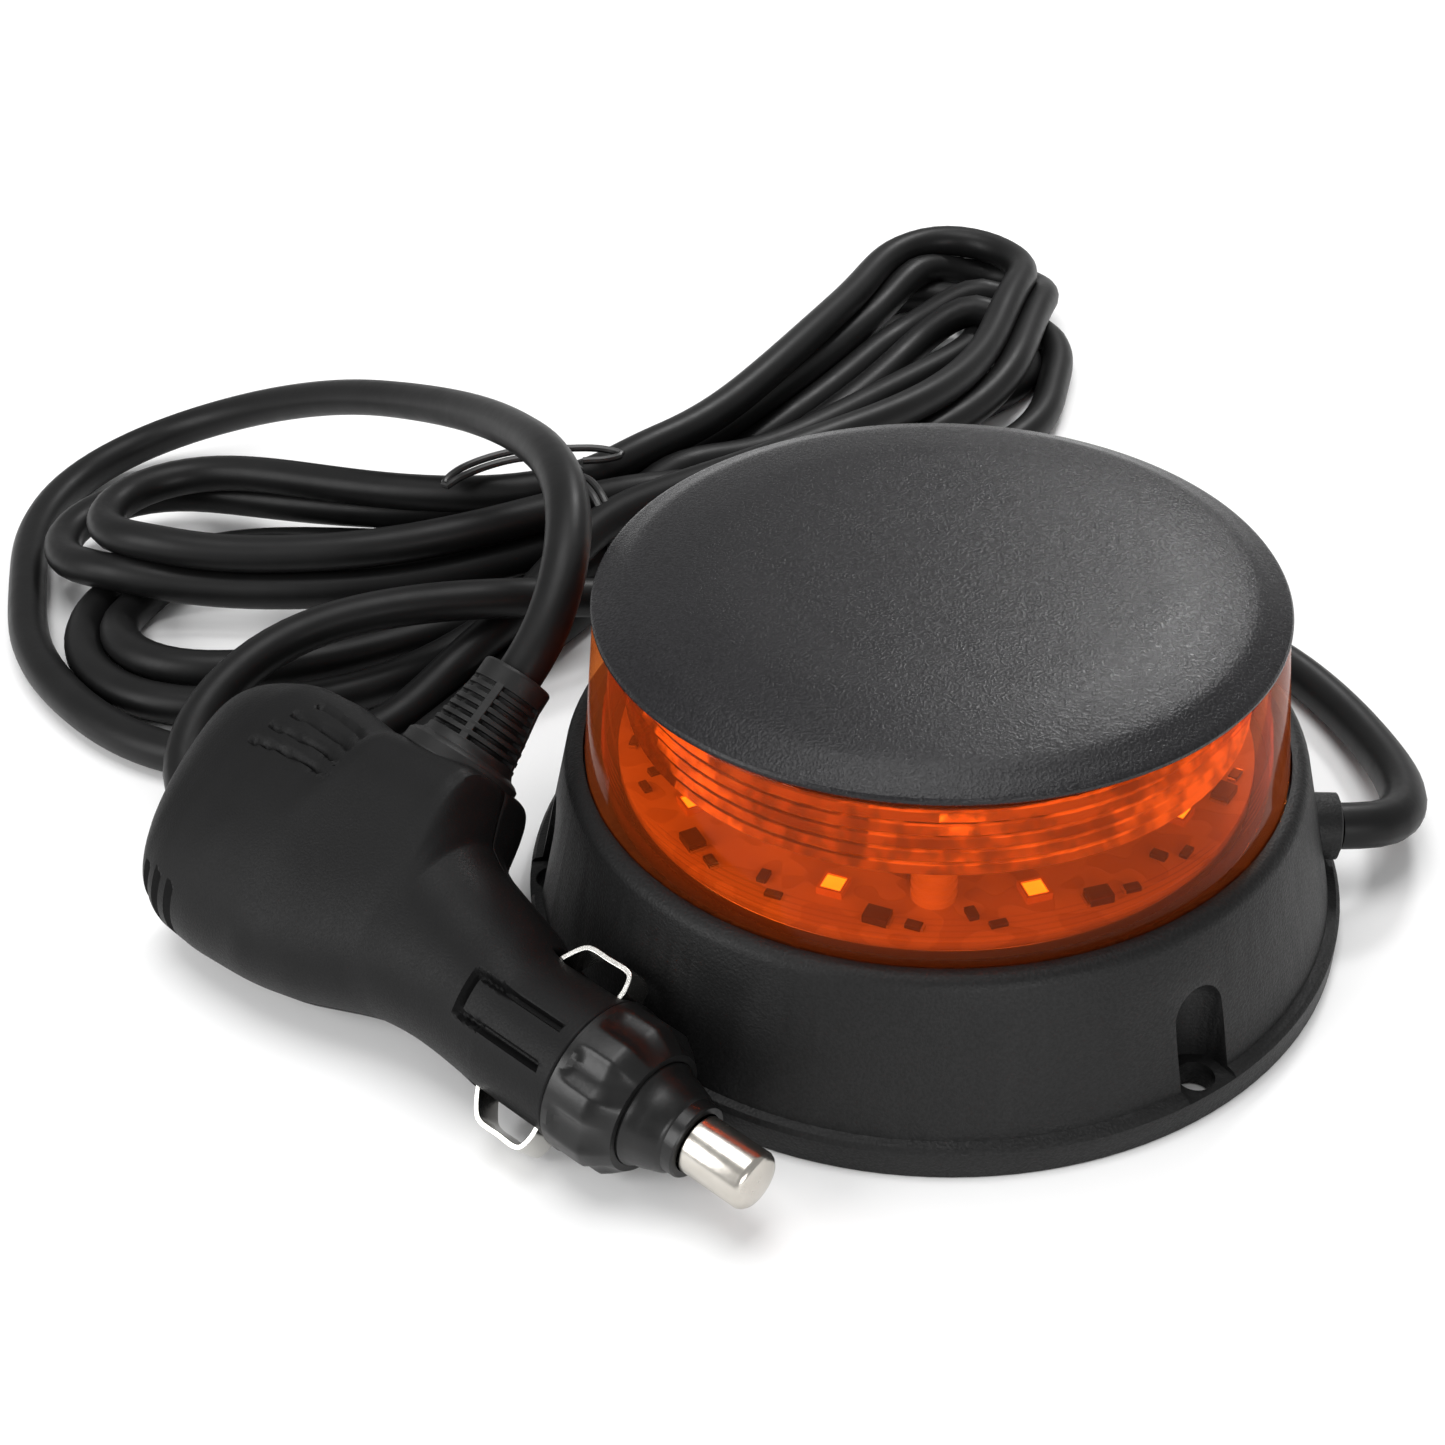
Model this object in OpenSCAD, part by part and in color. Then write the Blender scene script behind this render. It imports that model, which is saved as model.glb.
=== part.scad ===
// Low amber LED warning beacon with three screw holes in its flange, a black lead
// tied into a hank, and an angled vehicle power plug. Millimetres, +Z up.
// The origin is the centre of the beacon's underside and +X points to the lead's exit.

/* [Base housing] */
// Diameter of the flange
base_d = 122; // [112:1:146]
// Height of the base housing, up to the lens
base_h = 27.7; // [24:0.1:33]
// Thickness of the flange at its rim
flange_h = 4.6; // [3.5:0.1:6]
// How far the cone's upper edge stands in from the flange's rim
cone_inset = 7.1; // [5:0.1:9]
// Wall left round the lens's foot
foot_wall = 4.6; // [3:0.1:6]

/* [Mounting holes] */
// Number of screw holes in the flange
hole_count = 3; // [2:1:6]
// Diameter of a screw hole
hole_d = 5.2; // [4:0.1:6]
// Distance from a hole's centre to the flange's rim
hole_edge = 3.5; // [3.2:0.1:6]
// Width of the pocket that takes a screw's head
pocket_w = 8.4; // [7:0.1:10]
// Height at which the pocket's round roof springs
pocket_h = 15; // [10:0.1:16]
// Direction of the first hole, from the lead's exit
hole_turn = 68; // [50:1:80]

/* [Lens] */
// Height of the lens that shows between the base and the cap
lens_h = 23.7; // [18:0.1:30]
// How far the lens leans in over its height
lens_taper = 2.9; // [0.5:0.1:4]
// Wall of the lens
lens_wall = 2.6; // [1.8:0.1:3.5]
// Depth of the lens's foot in the base
lens_foot = 2.3; // [1.5:0.1:3]
// Thickness of each flat seal
seal_t = 0.7; // [0.5:0.1:1.2]

/* [Cap] */
// Height of the cap's upright edge
cap_edge = 1; // [0.6:0.1:2]
// Width of the sloping band round the cap
band_w = 4; // [2:0.1:6]
// Rise of the sloping band
band_h = 1.8; // [1:0.1:3]
// Rise of the dome inside the band
dome_h = 1.8; // [0.5:0.1:4]
// Depth of the skirt that locates the cap in the lens
skirt_h = 2.4; // [1.5:0.1:4]

/* [Light engine] */
// Number of light cells round the reflector
cell_count = 9; // [6:3:12]
// Height of the reflector above the light board
reflector_h = 20.4; // [17:0.1:21]
// Radius of the reflector's hollow underside
bowl_r = 13.2; // [11:0.1:14]
// Thickness of the reflector's wall
reflector_wall = 1.8; // [1.2:0.1:2.5]
// Thickness of both circuit boards
board_t = 1.6; // [1:0.1:2]
// Thickness of the metal plate under the light board
spreader_t = 2; // [1.5:0.1:3]

/* [Magnet foot] */
// Diameter of the magnet's steel cup
cup_d = 55; // [40:1:60]
// Height of the magnet's steel cup
cup_h = 8; // [6:0.1:9]
// Thickness of the base's bottom plate
plate_t = 2; // [1.5:0.1:2.5]
// Gap between the bottom plate and the surface below
plate_gap = 1.2; // [1:0.1:1.5]

/* [Lead] */
// Diameter of the lead
lead_d = 7; // [5.5:0.1:7.2]
// Height of the lead's exit from the base
exit_z = 11; // [10:0.1:12]
// Height of the tied hank
hank_h = 21; // [14:0.5:24]

/* [Plug] */
// Diameter of the plug's barrel
barrel_d = 20.8; // [20:0.1:21.2]
// Diameter of the sprung centre pin
pin_d = 8.1; // [7:0.1:9]
// How far the centre pin stands out of the nose
pin_out = 10.3; // [8:0.1:12]
// Travel of the centre pin
pin_travel = 3.5; // [2:0.1:4]
// How far a side contact stands out of the barrel
contact_out = 3.4; // [2:0.1:4]
// Length of the boot on the plug's lead
boot_l = 17; // [15:0.5:22]

/* [Hidden] */
$fn = 48;

// Gap between parts that drop into each other
gap = 0.3;
base_r = base_d / 2;
lens_r = base_r - cone_inset - 3;
lens_top_r = lens_r - lens_taper;
seat_r = lens_r + gap;
ledge_z = base_h - lens_foot - seal_t;
bay_r = lens_r - foot_wall;
lens_top_z = base_h + lens_h;

// Bottom plate and the screws that hold it
plate_r = bay_r + 2;
plate_top = plate_gap + plate_t;
plate_screw_r = bay_r - 3.4;
plate_screws = 4;
pilot_r = 1.25;

// Long screws that clamp the base, the boards and the cap together
stack_count = 3;
stack_r = bay_r - 9.4;
stack_turn = 30;
post_r = 3.6;
stack_bore_r = 1.7;
stack_head_r = 2.8;
stack_head_h = 2.2;
spreader_z = base_h - 3.7;
led_board_z = spreader_z + spreader_t;
led_board_top = led_board_z + board_t;

// Driver board, hung under the metal plate on three pillars
driver_r = stack_r - post_r - 1;
driver_z = spreader_z - 8 - board_t;
driver_top = driver_z + board_t;
pillar_r = 2.6;
pillar_at = driver_r - 5;
pillar_count = 3;

// Lead exit
lead_r = lead_d / 2;
grommet_r = lead_r + 0.7;
boss_r = grommet_r + 0.8;
boss_x = base_r - 0.9;
exit_x = boss_x + 0.4;

// The lead, the hank and the plug keep clear of a larger base
lay_r = 61;
spread = base_r / lay_r;
function spread_out(p) = [p[0] * spread, p[1] * spread, p[2]];

// Plug: x runs along the barrel to the tip, y to the side that the lead leaves from
plug_lay = [-43.6, -55.4, 11.2];
plug_grow = barrel_d / 2 - 10.4;
plug_at = spread_out(plug_lay - plug_grow * [1, 1.3, -1]);
plug_yaw = -36;
plug_dip = 3.2;
plug_roll = 35;
barrel_r = barrel_d / 2;
barrel_l = 26;
shell_bore_r = barrel_r - 2.2;
spigot_r = barrel_r - 1;
spigot_l = 5;
ring_l = 10.2;
ring_r = barrel_r + 0.4;
ring_front_r = ring_r - 2.4;
ring_bore_r = spigot_r + 0.08;
ring_lip_x = 6.4;
cone_r = 7.4;
cone_bore_r = 5.6;
nose_x = 17.6;
pin_r = pin_d / 2;
pin_collar_r = cone_bore_r - 0.08;
pin_back = 11;
fuse_r = 3.15;
fuse_l = 30;
spring_l = 9;
head_r = 12;
boot_at = [-46, 0];
boss_top = 24;
boot_top = boss_top + boot_l;
window_x = [-14, -1];
contact_w = 5.6;
window_w = contact_w + 1;
strip_t = 0.8;
screw_spots = [[-70, 4], [-40, -4]];

// Hank: the outlines of its two left bundles and its right one, which meet at the tie
hank_left = spread * [-150, 78];
hank_left_r = 26;
hank_front = spread * [-132, 44];
hank_front_r = 21;
hank_tie = spread * [-65, 86];
hank_tie_r = 15;
hank_right = spread * [3, 192];
hank_right_r = 33;
tie_turn = 32;
tie_t = 1;
tie_w = 3;

// Route of the lead from the base, round behind it, to the hank's front bundle
tail_lay = [[63, 0.2, 11], [67, 1.5, 10.4], [70.5, 4.6, 9.4],
    [72.7, 9.2, 8.2], [73.4, 14.8, 7], [73.2, 21, 5.8], [72.2, 28, 4.6], [70.6, 35, 3.8],
    [68.2, 42, 3.5], [64.8, 49, 3.5], [60, 56.5, 3.5], [53, 63.5, 3.5], [44, 69.5, 3.5],
    [34, 73.5, 3.5], [23, 76, 3.5], [11, 77, 3.5], [-1, 76.5, 3.5], [-13, 74.5, 3.8],
    [-25, 71.5, 4.8], [-37, 67.5, 6.8], [-48, 63, 9.4], [-58, 58, 12.4], [-67, 53.2, 15.2],
    [-76, 49.6, 17.2], [-85, 47.5, 18], [-93, 46.8, 17.6], [-100, 46.8, 16.8]];
tail_route = [[exit_x, 0, exit_z], for (p = tail_lay) spread_out(p)];
// Route of the lead from the plug's boot, over the hank and down round its left end
plug_lead_lay = [[-57.6, 1.3, 40.2], [-55.3, 6.4, 44.3], [-54, 13.6, 48.7], [-54.6, 22.7, 51.2],
    [-57.6, 33, 51.2],
    [-62.6, 45, 49], [-69, 58, 45], [-77, 72, 40.4], [-87, 86, 35.2], [-99, 99, 30],
    [-112, 110.5, 25], [-125, 119.5, 19.6], [-138, 126, 14.4], [-150, 129, 9.8],
    [-161, 128.5, 6.4], [-169, 124, 4.4], [-174.5, 116, 3.5], [-176.6, 105, 3.5],
    [-176.2, 94, 3.5], [-174, 84, 3.5], [-170, 74.5, 3.5]];
// It moves with the plug at its start and with the hank at its end
plug_route = [for (i = [0:len(plug_lead_lay) - 1])
    let (p = plug_lead_lay[i], w = i / (len(plug_lead_lay) - 1))
    p + (1 - w) * (plug_at - plug_lay) + w * (spread_out(p) - p)];

// Corner points of an arc in the plane, for profiles
function arc(c, r, from, to, n = 4) =
    [for (i = [0:n]) let (a = from + (to - from) * i / n) [c[0] + r * cos(a), c[1] + r * sin(a)]];
function unit(v) = v / norm(v);
// Direction of a route at one of its points
function heading(p, i) = unit(p[min(i + 1, len(p) - 1)] - p[max(i - 1, 0)]);
function side_of(d) = unit(cross([0, 0, 1], d));
function ring_of(c, d, r, n) = let (s = side_of(d), u = cross(d, s))
    [for (k = [0:n - 1]) c + r * (cos(360 * k / n) * s + sin(360 * k / n) * u)];
// A point of the plug's own frame, in the model's frame
function turn_x(p, a) = [p[0], p[1] * cos(a) - p[2] * sin(a), p[1] * sin(a) + p[2] * cos(a)];
function turn_y(p, a) = [p[0] * cos(a) + p[2] * sin(a), p[1], p[2] * cos(a) - p[0] * sin(a)];
function turn_z(p, a) = [p[0] * cos(a) - p[1] * sin(a), p[0] * sin(a) + p[1] * cos(a), p[2]];
function plug_point(p) = plug_at + turn_z(turn_y(turn_x(p, plug_roll), plug_dip), plug_yaw);

module round_about(count, r, turn = 0) {
    for (i = [0:count - 1])
        rotate([0, 0, turn + i * 360 / count]) translate([r, 0, 0]) children();
}

module tube(route, r, n = 10) {
    rings = [for (i = [0:len(route) - 1]) ring_of(route[i], heading(route, i), r, n)];
    last = len(route) - 1;
    side_faces = [for (i = [0:last - 1], k = [0:n - 1])
        [(i + 1) * n + k, (i + 1) * n + (k + 1) % n, i * n + (k + 1) % n, i * n + k]];
    polyhedron(points = [for (ring = rings, q = ring) q],
        faces = concat(side_faces,
            [[for (k = [0:n - 1]) k]], [[for (k = [n - 1:-1:0]) last * n + k]]));
}

module in_plug() {
    translate(plug_at) rotate([0, 0, plug_yaw]) rotate([0, plug_dip, 0])
        rotate([plug_roll, 0, 0]) children();
}

// A cylinder or cone along the plug's barrel, from x1 to x2
module along(x1, x2, r1, r2 = undef) {
    translate([x1, 0, 0]) rotate([0, 90, 0])
        cylinder(h = x2 - x1, r1 = r1, r2 = is_undef(r2) ? r1 : r2);
}

// ---- Beacon ----

module pocket_cut() {
    round_about(hole_count, base_r - hole_edge, hole_turn) {
        translate([0, 0, flange_h - 0.6]) {
            cylinder(h = pocket_h - flange_h + 0.6, r = pocket_w / 2);
            translate([0, -pocket_w / 2, 0])
                cube([hole_edge + 2, pocket_w, pocket_h - flange_h + 0.6]);
        }
        translate([0, 0, pocket_h]) {
            sphere(r = pocket_w / 2);
            rotate([0, 90, 0]) cylinder(h = hole_edge + 2, r = pocket_w / 2);
        }
        translate([0, 0, -1]) cylinder(h = flange_h + 2, r = hole_d / 2);
    }
}

module base_housing() {
    shoulder = 2.4;
    rim_ledge = 1.8;
    cone_top_r = base_r - cone_inset;
    color([0.13, 0.13, 0.14]) difference() {
        union() {
            rotate_extrude() polygon(concat(
                [[plate_r + gap, 0], [base_r, 0], [base_r, flange_h - 0.6],
                    [base_r - 0.6, flange_h], [base_r - rim_ledge, flange_h + 0.2]],
                arc([cone_top_r - shoulder + 0.2, base_h - shoulder], shoulder, 18, 90),
                [[seat_r, base_h], [seat_r, ledge_z], [bay_r, ledge_z], [bay_r, plate_top],
                    [plate_r + gap, plate_top]]));
            translate([bay_r + 0.5, 0, exit_z]) rotate([0, 90, 0])
                cylinder(h = boss_x - bay_r - 0.5, r = boss_r);
            round_about(plate_screws, plate_screw_r, 45)
                translate([0, 0, plate_top]) cylinder(h = 9, r = 3.6);
            round_about(stack_count, stack_r, stack_turn)
                translate([0, 0, plate_top + 1.2])
                    cylinder(h = spreader_z - plate_top - 1.2, r = post_r);
            round_about(stack_count, stack_r, stack_turn)
                translate([0, -1.2, plate_top + 1.2])
                    cube([bay_r - stack_r + 0.6, 2.4, spreader_z - plate_top - 3]);
        }
        pocket_cut();
        round_about(plate_screws, plate_screw_r, 45)
            translate([0, 0, plate_top - 1]) cylinder(h = 8, r = pilot_r);
        round_about(stack_count, stack_r, stack_turn) {
            translate([0, 0, plate_top]) cylinder(h = base_h, r = stack_bore_r);
            translate([0, 0, plate_top]) cylinder(h = 1.2 + stack_head_h, r = stack_head_r + 0.2);
        }
        translate([bay_r - 1, 0, exit_z]) rotate([0, 90, 0])
            cylinder(h = boss_x - bay_r + 2, r = grommet_r);
        difference() {
            translate([0, 0, -1]) cylinder(h = 2.4, r = plate_r + 4.4);
            translate([0, 0, -2]) cylinder(h = 4.4, r = plate_r + 1.4);
        }
    }
}

module foot_gasket() {
    color([0.08, 0.08, 0.08]) difference() {
        cylinder(h = 1.4, r = plate_r + 4.4);
        translate([0, 0, -1]) cylinder(h = 4, r = plate_r + 1.4);
    }
}

module bottom_plate() {
    color([0.7, 0.71, 0.73]) difference() {
        translate([0, 0, plate_gap]) cylinder(h = plate_t, r = plate_r);
        translate([0, 0, -1]) cylinder(h = 8, r = cup_d / 2 + gap);
        round_about(plate_screws, plate_screw_r, 45)
            translate([0, 0, -1]) cylinder(h = 8, r = pilot_r);
        translate([0, -bay_r + 8, -1]) cylinder(h = 8, r = 2.4);
    }
}

module bottom_screws() {
    color([0.6, 0.6, 0.62]) round_about(plate_screws, plate_screw_r, 45) difference() {
        union() {
            translate([0, 0, plate_gap]) cylinder(h = plate_t + 6, r = pilot_r);
            translate([0, 0, 0.2]) cylinder(h = plate_gap - 0.2, r = 2.7);
        }
        translate([-1.8, -0.3, 0]) cube([3.6, 0.6, 0.7]);
        translate([-0.3, -1.8, 0]) cube([0.6, 3.6, 0.7]);
    }
}

module vent_plug() {
    color([0.12, 0.12, 0.12]) translate([0, -bay_r + 8, 0]) {
        translate([0, 0, 0.4]) cylinder(h = plate_gap - 0.4, r = 3.4);
        translate([0, 0, plate_gap]) cylinder(h = plate_t + 1, r = 2.4);
    }
}

module magnet_cup() {
    color([0.6, 0.61, 0.63]) difference() {
        union() {
            translate([0, 0, 1]) cylinder(h = cup_h, r = cup_d / 2);
            translate([0, 0, plate_top]) cylinder(h = 1, r = cup_d / 2 + 3);
        }
        translate([0, 0, -1]) cylinder(h = cup_h, r = cup_d / 2 - 2);
    }
}

module magnet_ring() {
    color([0.2, 0.2, 0.21]) difference() {
        translate([0, 0, 1]) cylinder(h = cup_h - 2, r = cup_d / 2 - 2);
        translate([0, 0, -1]) cylinder(h = cup_h + 2, r = 7);
    }
}

module magnet_pad() {
    color([0.08, 0.08, 0.08]) cylinder(h = 1, r = cup_d / 2);
}

module heat_spreader() {
    color([0.75, 0.76, 0.78]) difference() {
        union() {
            translate([0, 0, spreader_z]) cylinder(h = spreader_t, r = bay_r - gap);
            round_about(pillar_count, pillar_at, 90)
                translate([0, 0, driver_top]) cylinder(h = spreader_z - driver_top, r = pillar_r);
        }
        round_about(stack_count, stack_r, stack_turn)
            translate([0, 0, spreader_z - 1]) cylinder(h = 8, r = stack_bore_r);
        round_about(pillar_count, pillar_at, 90)
            translate([0, 0, driver_top - 1]) cylinder(h = 6, r = pilot_r);
    }
}

module driver_board() {
    color([0.1, 0.35, 0.2]) difference() {
        translate([0, 0, driver_z]) cylinder(h = board_t, r = driver_r);
        round_about(pillar_count, pillar_at, 90)
            translate([0, 0, driver_z - 1]) cylinder(h = 4, r = pilot_r);
    }
}

module board_screws() {
    color([0.6, 0.6, 0.62]) round_about(pillar_count, pillar_at, 90) {
        translate([0, 0, driver_z]) cylinder(h = board_t + 4, r = pilot_r);
        translate([0, 0, driver_z - 1.6]) cylinder(h = 1.6, r = 2.4);
    }
}

module inductor() {
    color([0.25, 0.25, 0.26]) translate([-14, -10, driver_top]) difference() {
        cylinder(h = 6.5, r = 6.5);
        translate([0, 0, 1]) difference() {
            cylinder(h = 4.5, r = 8);
            translate([0, 0, -1]) cylinder(h = 6.5, r = 5.6);
        }
    }
}

module capacitors() {
    color([0.15, 0.15, 0.35]) for (x = [-4, 6]) {
        translate([x, 16, driver_top]) cylinder(h = 7, r = 4);
    }
}

module driver_chips() {
    color([0.08, 0.08, 0.09]) {
        translate([2, -14, driver_top]) cube([8, 6, 1.8]);
        translate([2, -3, driver_top]) cube([5, 6, 1.6]);
        translate([-20, 6, driver_top]) cube([6, 5, 2.2]);
    }
}

module wire_connector() {
    color([0.9, 0.9, 0.86]) translate([driver_r - 10, -4, driver_top]) cube([8, 8, 5.5]);
}

module lead_cores() {
    rise_x = driver_r + 1.8;
    core_z = driver_top + 3;
    core_r = 0.9;
    colors = ["red", "black"];
    for (i = [0, 1]) color(colors[i]) translate([0, i == 0 ? 1.6 : -1.6, 0]) {
        translate([rise_x - 1.2, 0, exit_z]) rotate([0, 90, 0])
            cylinder(h = bay_r - 4 - rise_x + 1.2, r = core_r);
        translate([rise_x, 0, exit_z]) cylinder(h = core_z - exit_z, r = core_r - 0.1);
        translate([driver_r - 2, 0, core_z]) rotate([0, 90, 0])
            cylinder(h = rise_x - driver_r + 3.2, r = core_r);
    }
}

module cord_grip() {
    color([0.85, 0.85, 0.8]) difference() {
        translate([bay_r - 3.6, -6, exit_z - lead_r - 2]) cube([2.6, 12, lead_d + 4]);
        translate([bay_r - 6, 0, exit_z]) rotate([0, 90, 0]) cylinder(h = 8, r = lead_r);
    }
}

module lead_grommet() {
    color([0.09, 0.09, 0.09]) difference() {
        union() {
            translate([bay_r - 0.8, 0, exit_z]) rotate([0, 90, 0])
                cylinder(h = exit_x - bay_r + 0.8, r = grommet_r);
            translate([bay_r - 0.8, 0, exit_z]) rotate([0, 90, 0])
                cylinder(h = 0.6, r = grommet_r + 1);
        }
        translate([bay_r - 3, 0, exit_z]) rotate([0, 90, 0]) cylinder(h = 30, r = lead_r);
    }
}

module led_board() {
    color([0.85, 0.83, 0.78]) difference() {
        translate([0, 0, led_board_z]) cylinder(h = board_t, r = bay_r - gap);
        round_about(stack_count, stack_r, stack_turn)
            translate([0, 0, led_board_z - 1]) cylinder(h = 4, r = stack_bore_r);
    }
}

module led_chips() {
    color([0.95, 0.8, 0.2]) round_about(cell_count, stack_r + 1.6, stack_turn + 180 / cell_count)
        translate([-1.8, -1.8, led_board_top]) cube([3.6, 3.6, 1.1]);
}

module reflector_ring() {
    rim_r = lens_top_r - lens_wall - 0.9;
    bowl = [rim_r, led_board_top];
    under = arc(bowl, bowl_r, 180, 100, 6);
    over = arc(bowl, bowl_r + reflector_wall, 100, 180, 6);
    lip_z = led_board_top + bowl_r - 3.4;
    top_z = led_board_top + reflector_h;
    color([0.8, 0.8, 0.82]) difference() {
        union() {
            rotate_extrude() polygon(concat(under, [[rim_r - 1.4, lip_z], [rim_r, lip_z],
                [rim_r, top_z], [rim_r - 1.4, top_z]], over));
            intersection() {
                rotate_extrude() polygon(concat(arc(bowl, bowl_r + 0.2, 160, 100, 5),
                    [[rim_r - 2.4, led_board_top + 4]]));
                round_about(cell_count, 0, stack_turn)
                    translate([0, -0.4, led_board_top]) cube([rim_r, 0.8, reflector_h]);
            }
        }
        round_about(stack_count, stack_r, stack_turn)
            translate([0, 0, led_board_top - 1]) cylinder(h = reflector_h + 2, r = post_r + gap);
    }
}

module lens_ring() {
    color([1, 0.35, 0.02, 0.6]) rotate_extrude() polygon([
        [lens_r - lens_wall, base_h - lens_foot], [lens_r, base_h - lens_foot], [lens_r, base_h],
        [lens_top_r, lens_top_z], [lens_top_r - lens_wall, lens_top_z],
        [lens_r - lens_wall, base_h]]);
}

module lens_seal() {
    color([0.08, 0.08, 0.08]) difference() {
        translate([0, 0, ledge_z]) cylinder(h = seal_t, r = lens_r);
        translate([0, 0, ledge_z - 1]) cylinder(h = seal_t + 2, r = lens_r - lens_wall);
    }
}

module cap_seal() {
    color([0.08, 0.08, 0.08]) difference() {
        translate([0, 0, lens_top_z]) cylinder(h = seal_t, r = lens_top_r - 0.8);
        translate([0, 0, lens_top_z - 1]) cylinder(h = seal_t + 2, r = lens_top_r - lens_wall + 0.4);
    }
}

module top_cap() {
    rim_r = lens_top_r + 0.3;
    band_r = rim_r - band_w;
    edge_z = lens_top_z + cap_edge;
    band_z = edge_z + band_h;
    top_z = band_z + dome_h;
    skirt_r = lens_top_r - lens_wall - gap;
    seal_in = lens_top_r - lens_wall + 0.4;
    color([0.22, 0.22, 0.24]) difference() {
        union() {
            rotate_extrude() polygon([[0, top_z], [band_r * 0.45, top_z - dome_h * 0.2],
                [band_r * 0.8, top_z - dome_h * 0.6], [band_r, band_z], [rim_r, edge_z],
                [rim_r, lens_top_z], [lens_top_r - 0.8, lens_top_z],
                [lens_top_r - 0.8, lens_top_z + seal_t], [seal_in, lens_top_z + seal_t],
                [seal_in, lens_top_z], [skirt_r, lens_top_z], [skirt_r, lens_top_z - skirt_h],
                [skirt_r - 2, lens_top_z - skirt_h], [skirt_r - 2, lens_top_z + 0.6],
                [0, lens_top_z + 1.6]]);
            round_about(stack_count, stack_r, stack_turn)
                translate([0, 0, led_board_top])
                    cylinder(h = lens_top_z + 1.4 - led_board_top, r = post_r - 0.4);
        }
        round_about(stack_count, stack_r, stack_turn)
            translate([0, 0, led_board_top - 1]) cylinder(h = 13, r = pilot_r);
    }
}

module stack_screws() {
    color([0.6, 0.6, 0.62]) round_about(stack_count, stack_r, stack_turn) {
        translate([0, 0, plate_top + 1.2 + stack_head_h])
            cylinder(h = led_board_top + 11 - plate_top - 1.2 - stack_head_h, r = pilot_r);
        translate([0, 0, plate_top + 1.2]) cylinder(h = stack_head_h, r = stack_head_r);
    }
}

// ---- Plug ----

module head_form(r, r_neck) {
    hull() {
        translate([-71.5, -5.5, 0]) sphere(r = r, $fn = 32);
        translate([-72.5, 13, 0]) sphere(r = r, $fn = 32);
        translate([-50, -3, 0]) sphere(r = r, $fn = 32);
        translate([-50, 6, 0]) sphere(r = r, $fn = 32);
    }
    hull() {
        translate([-52, 0, 0]) sphere(r = r, $fn = 32);
        translate([-barrel_l, 0, 0]) rotate([0, 90, 0]) cylinder(h = 1, r = r_neck, $fn = 32);
    }
}

module contact_windows() {
    for (s = [-1, 1])
        translate([window_x[0], s > 0 ? 0 : -barrel_r - 2, -window_w / 2])
            cube([window_x[1] - window_x[0], barrel_r + 2, window_w]);
}

module shell_solid() {
    difference() {
        union() {
            head_form(head_r, barrel_r);
            along(-barrel_l, 0, barrel_r);
            along(0, spigot_l, spigot_r);
            translate([boot_at[0], 0, 0]) rotate([-90, 0, 0]) cylinder(h = boss_top, r = 9.4);
        }
        along(-barrel_l - 6, spigot_l + 1, shell_bore_r);
        difference() {
            head_form(head_r - 2.2, shell_bore_r);
            for (p = screw_spots) translate([p[0], p[1], -20]) cylinder(h = 40, r = 3);
        }
        translate([boot_at[0], 0, 0]) rotate([-90, 0, 0]) cylinder(h = boss_top - 2, r = 7.2);
        translate([boot_at[0], 0, 0]) rotate([-90, 0, 0]) cylinder(h = boss_top + 1, r = 4.9);
        contact_windows();
    }
}

module grip_shell_upper() {
    color([0.1, 0.1, 0.1]) in_plug() difference() {
        intersection() {
            shell_solid();
            translate([-100, -50, 0]) cube([120, 100, 40]);
        }
        for (p = screw_spots) translate([p[0], p[1], -1]) cylinder(h = 8, r = pilot_r);
        translate([-17, -3.4, barrel_r - 3]) cube([14, 0.8, 4]);
        translate([-17, 2.6, barrel_r - 3]) cube([14, 0.8, 4]);
        translate([-17.8, -3.4, barrel_r - 3]) cube([0.8, 6.8, 4]);
    }
}

module grip_shell_lower() {
    color([0.1, 0.1, 0.1]) in_plug() difference() {
        intersection() {
            shell_solid();
            translate([-100, -50, -40]) cube([120, 100, 40]);
        }
        for (p = screw_spots) translate([p[0], p[1], -40]) {
            cylinder(h = 41, r = pilot_r);
            cylinder(h = 33, r = 2.6);
        }
    }
}

module shell_screws() {
    color([0.6, 0.6, 0.62]) in_plug() for (p = screw_spots) translate([p[0], p[1], 0]) {
        translate([0, 0, -7]) cylinder(h = 13, r = pilot_r);
        translate([0, 0, -9]) cylinder(h = 2, r = 2.4);
    }
}

module lead_boot() {
    rib_step = 2.1;
    ribs = 5;
    color([0.09, 0.09, 0.09]) in_plug() translate([boot_at[0], 0, 0]) rotate([-90, 0, 0])
        difference() {
            union() {
                translate([0, 0, boss_top - 6]) cylinder(h = 4, r = 6.8);
                translate([0, 0, boss_top - 2]) cylinder(h = 2.1, r = 4.8);
                translate([0, 0, boss_top]) cylinder(h = 2.6, r = 8.8);
                translate([0, 0, boss_top + 2.6]) cylinder(h = boot_l - 2.6, r1 = 5.2, r2 = 4.6);
                for (i = [1:ribs]) translate([0, 0, boss_top + 2.6 + i * rib_step])
                    cylinder(h = 1.1, r = 6.3 - i * 0.15);
                translate([0, 0, boot_top - 3]) cylinder(h = 3, r = 5.2);
            }
            translate([0, 0, boss_top - 8]) cylinder(h = boot_l + 20, r = lead_r);
        }
}

module nose_ring() {
    flutes = 8;
    color([0.1, 0.1, 0.1]) in_plug() difference() {
        union() {
            along(0.1, 7, ring_r);
            along(7, ring_l, ring_r, ring_front_r);
        }
        along(-1, ring_lip_x, ring_bore_r);
        along(ring_lip_x - 1, ring_l + 1, cone_r + 0.08);
        for (i = [0:flutes - 1]) rotate([i * 360 / flutes, 0, 0])
            translate([1.6, 0, ring_r + 2.4]) rotate([0, 90, 0]) cylinder(h = ring_l, r = 3.2);
    }
}

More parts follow.
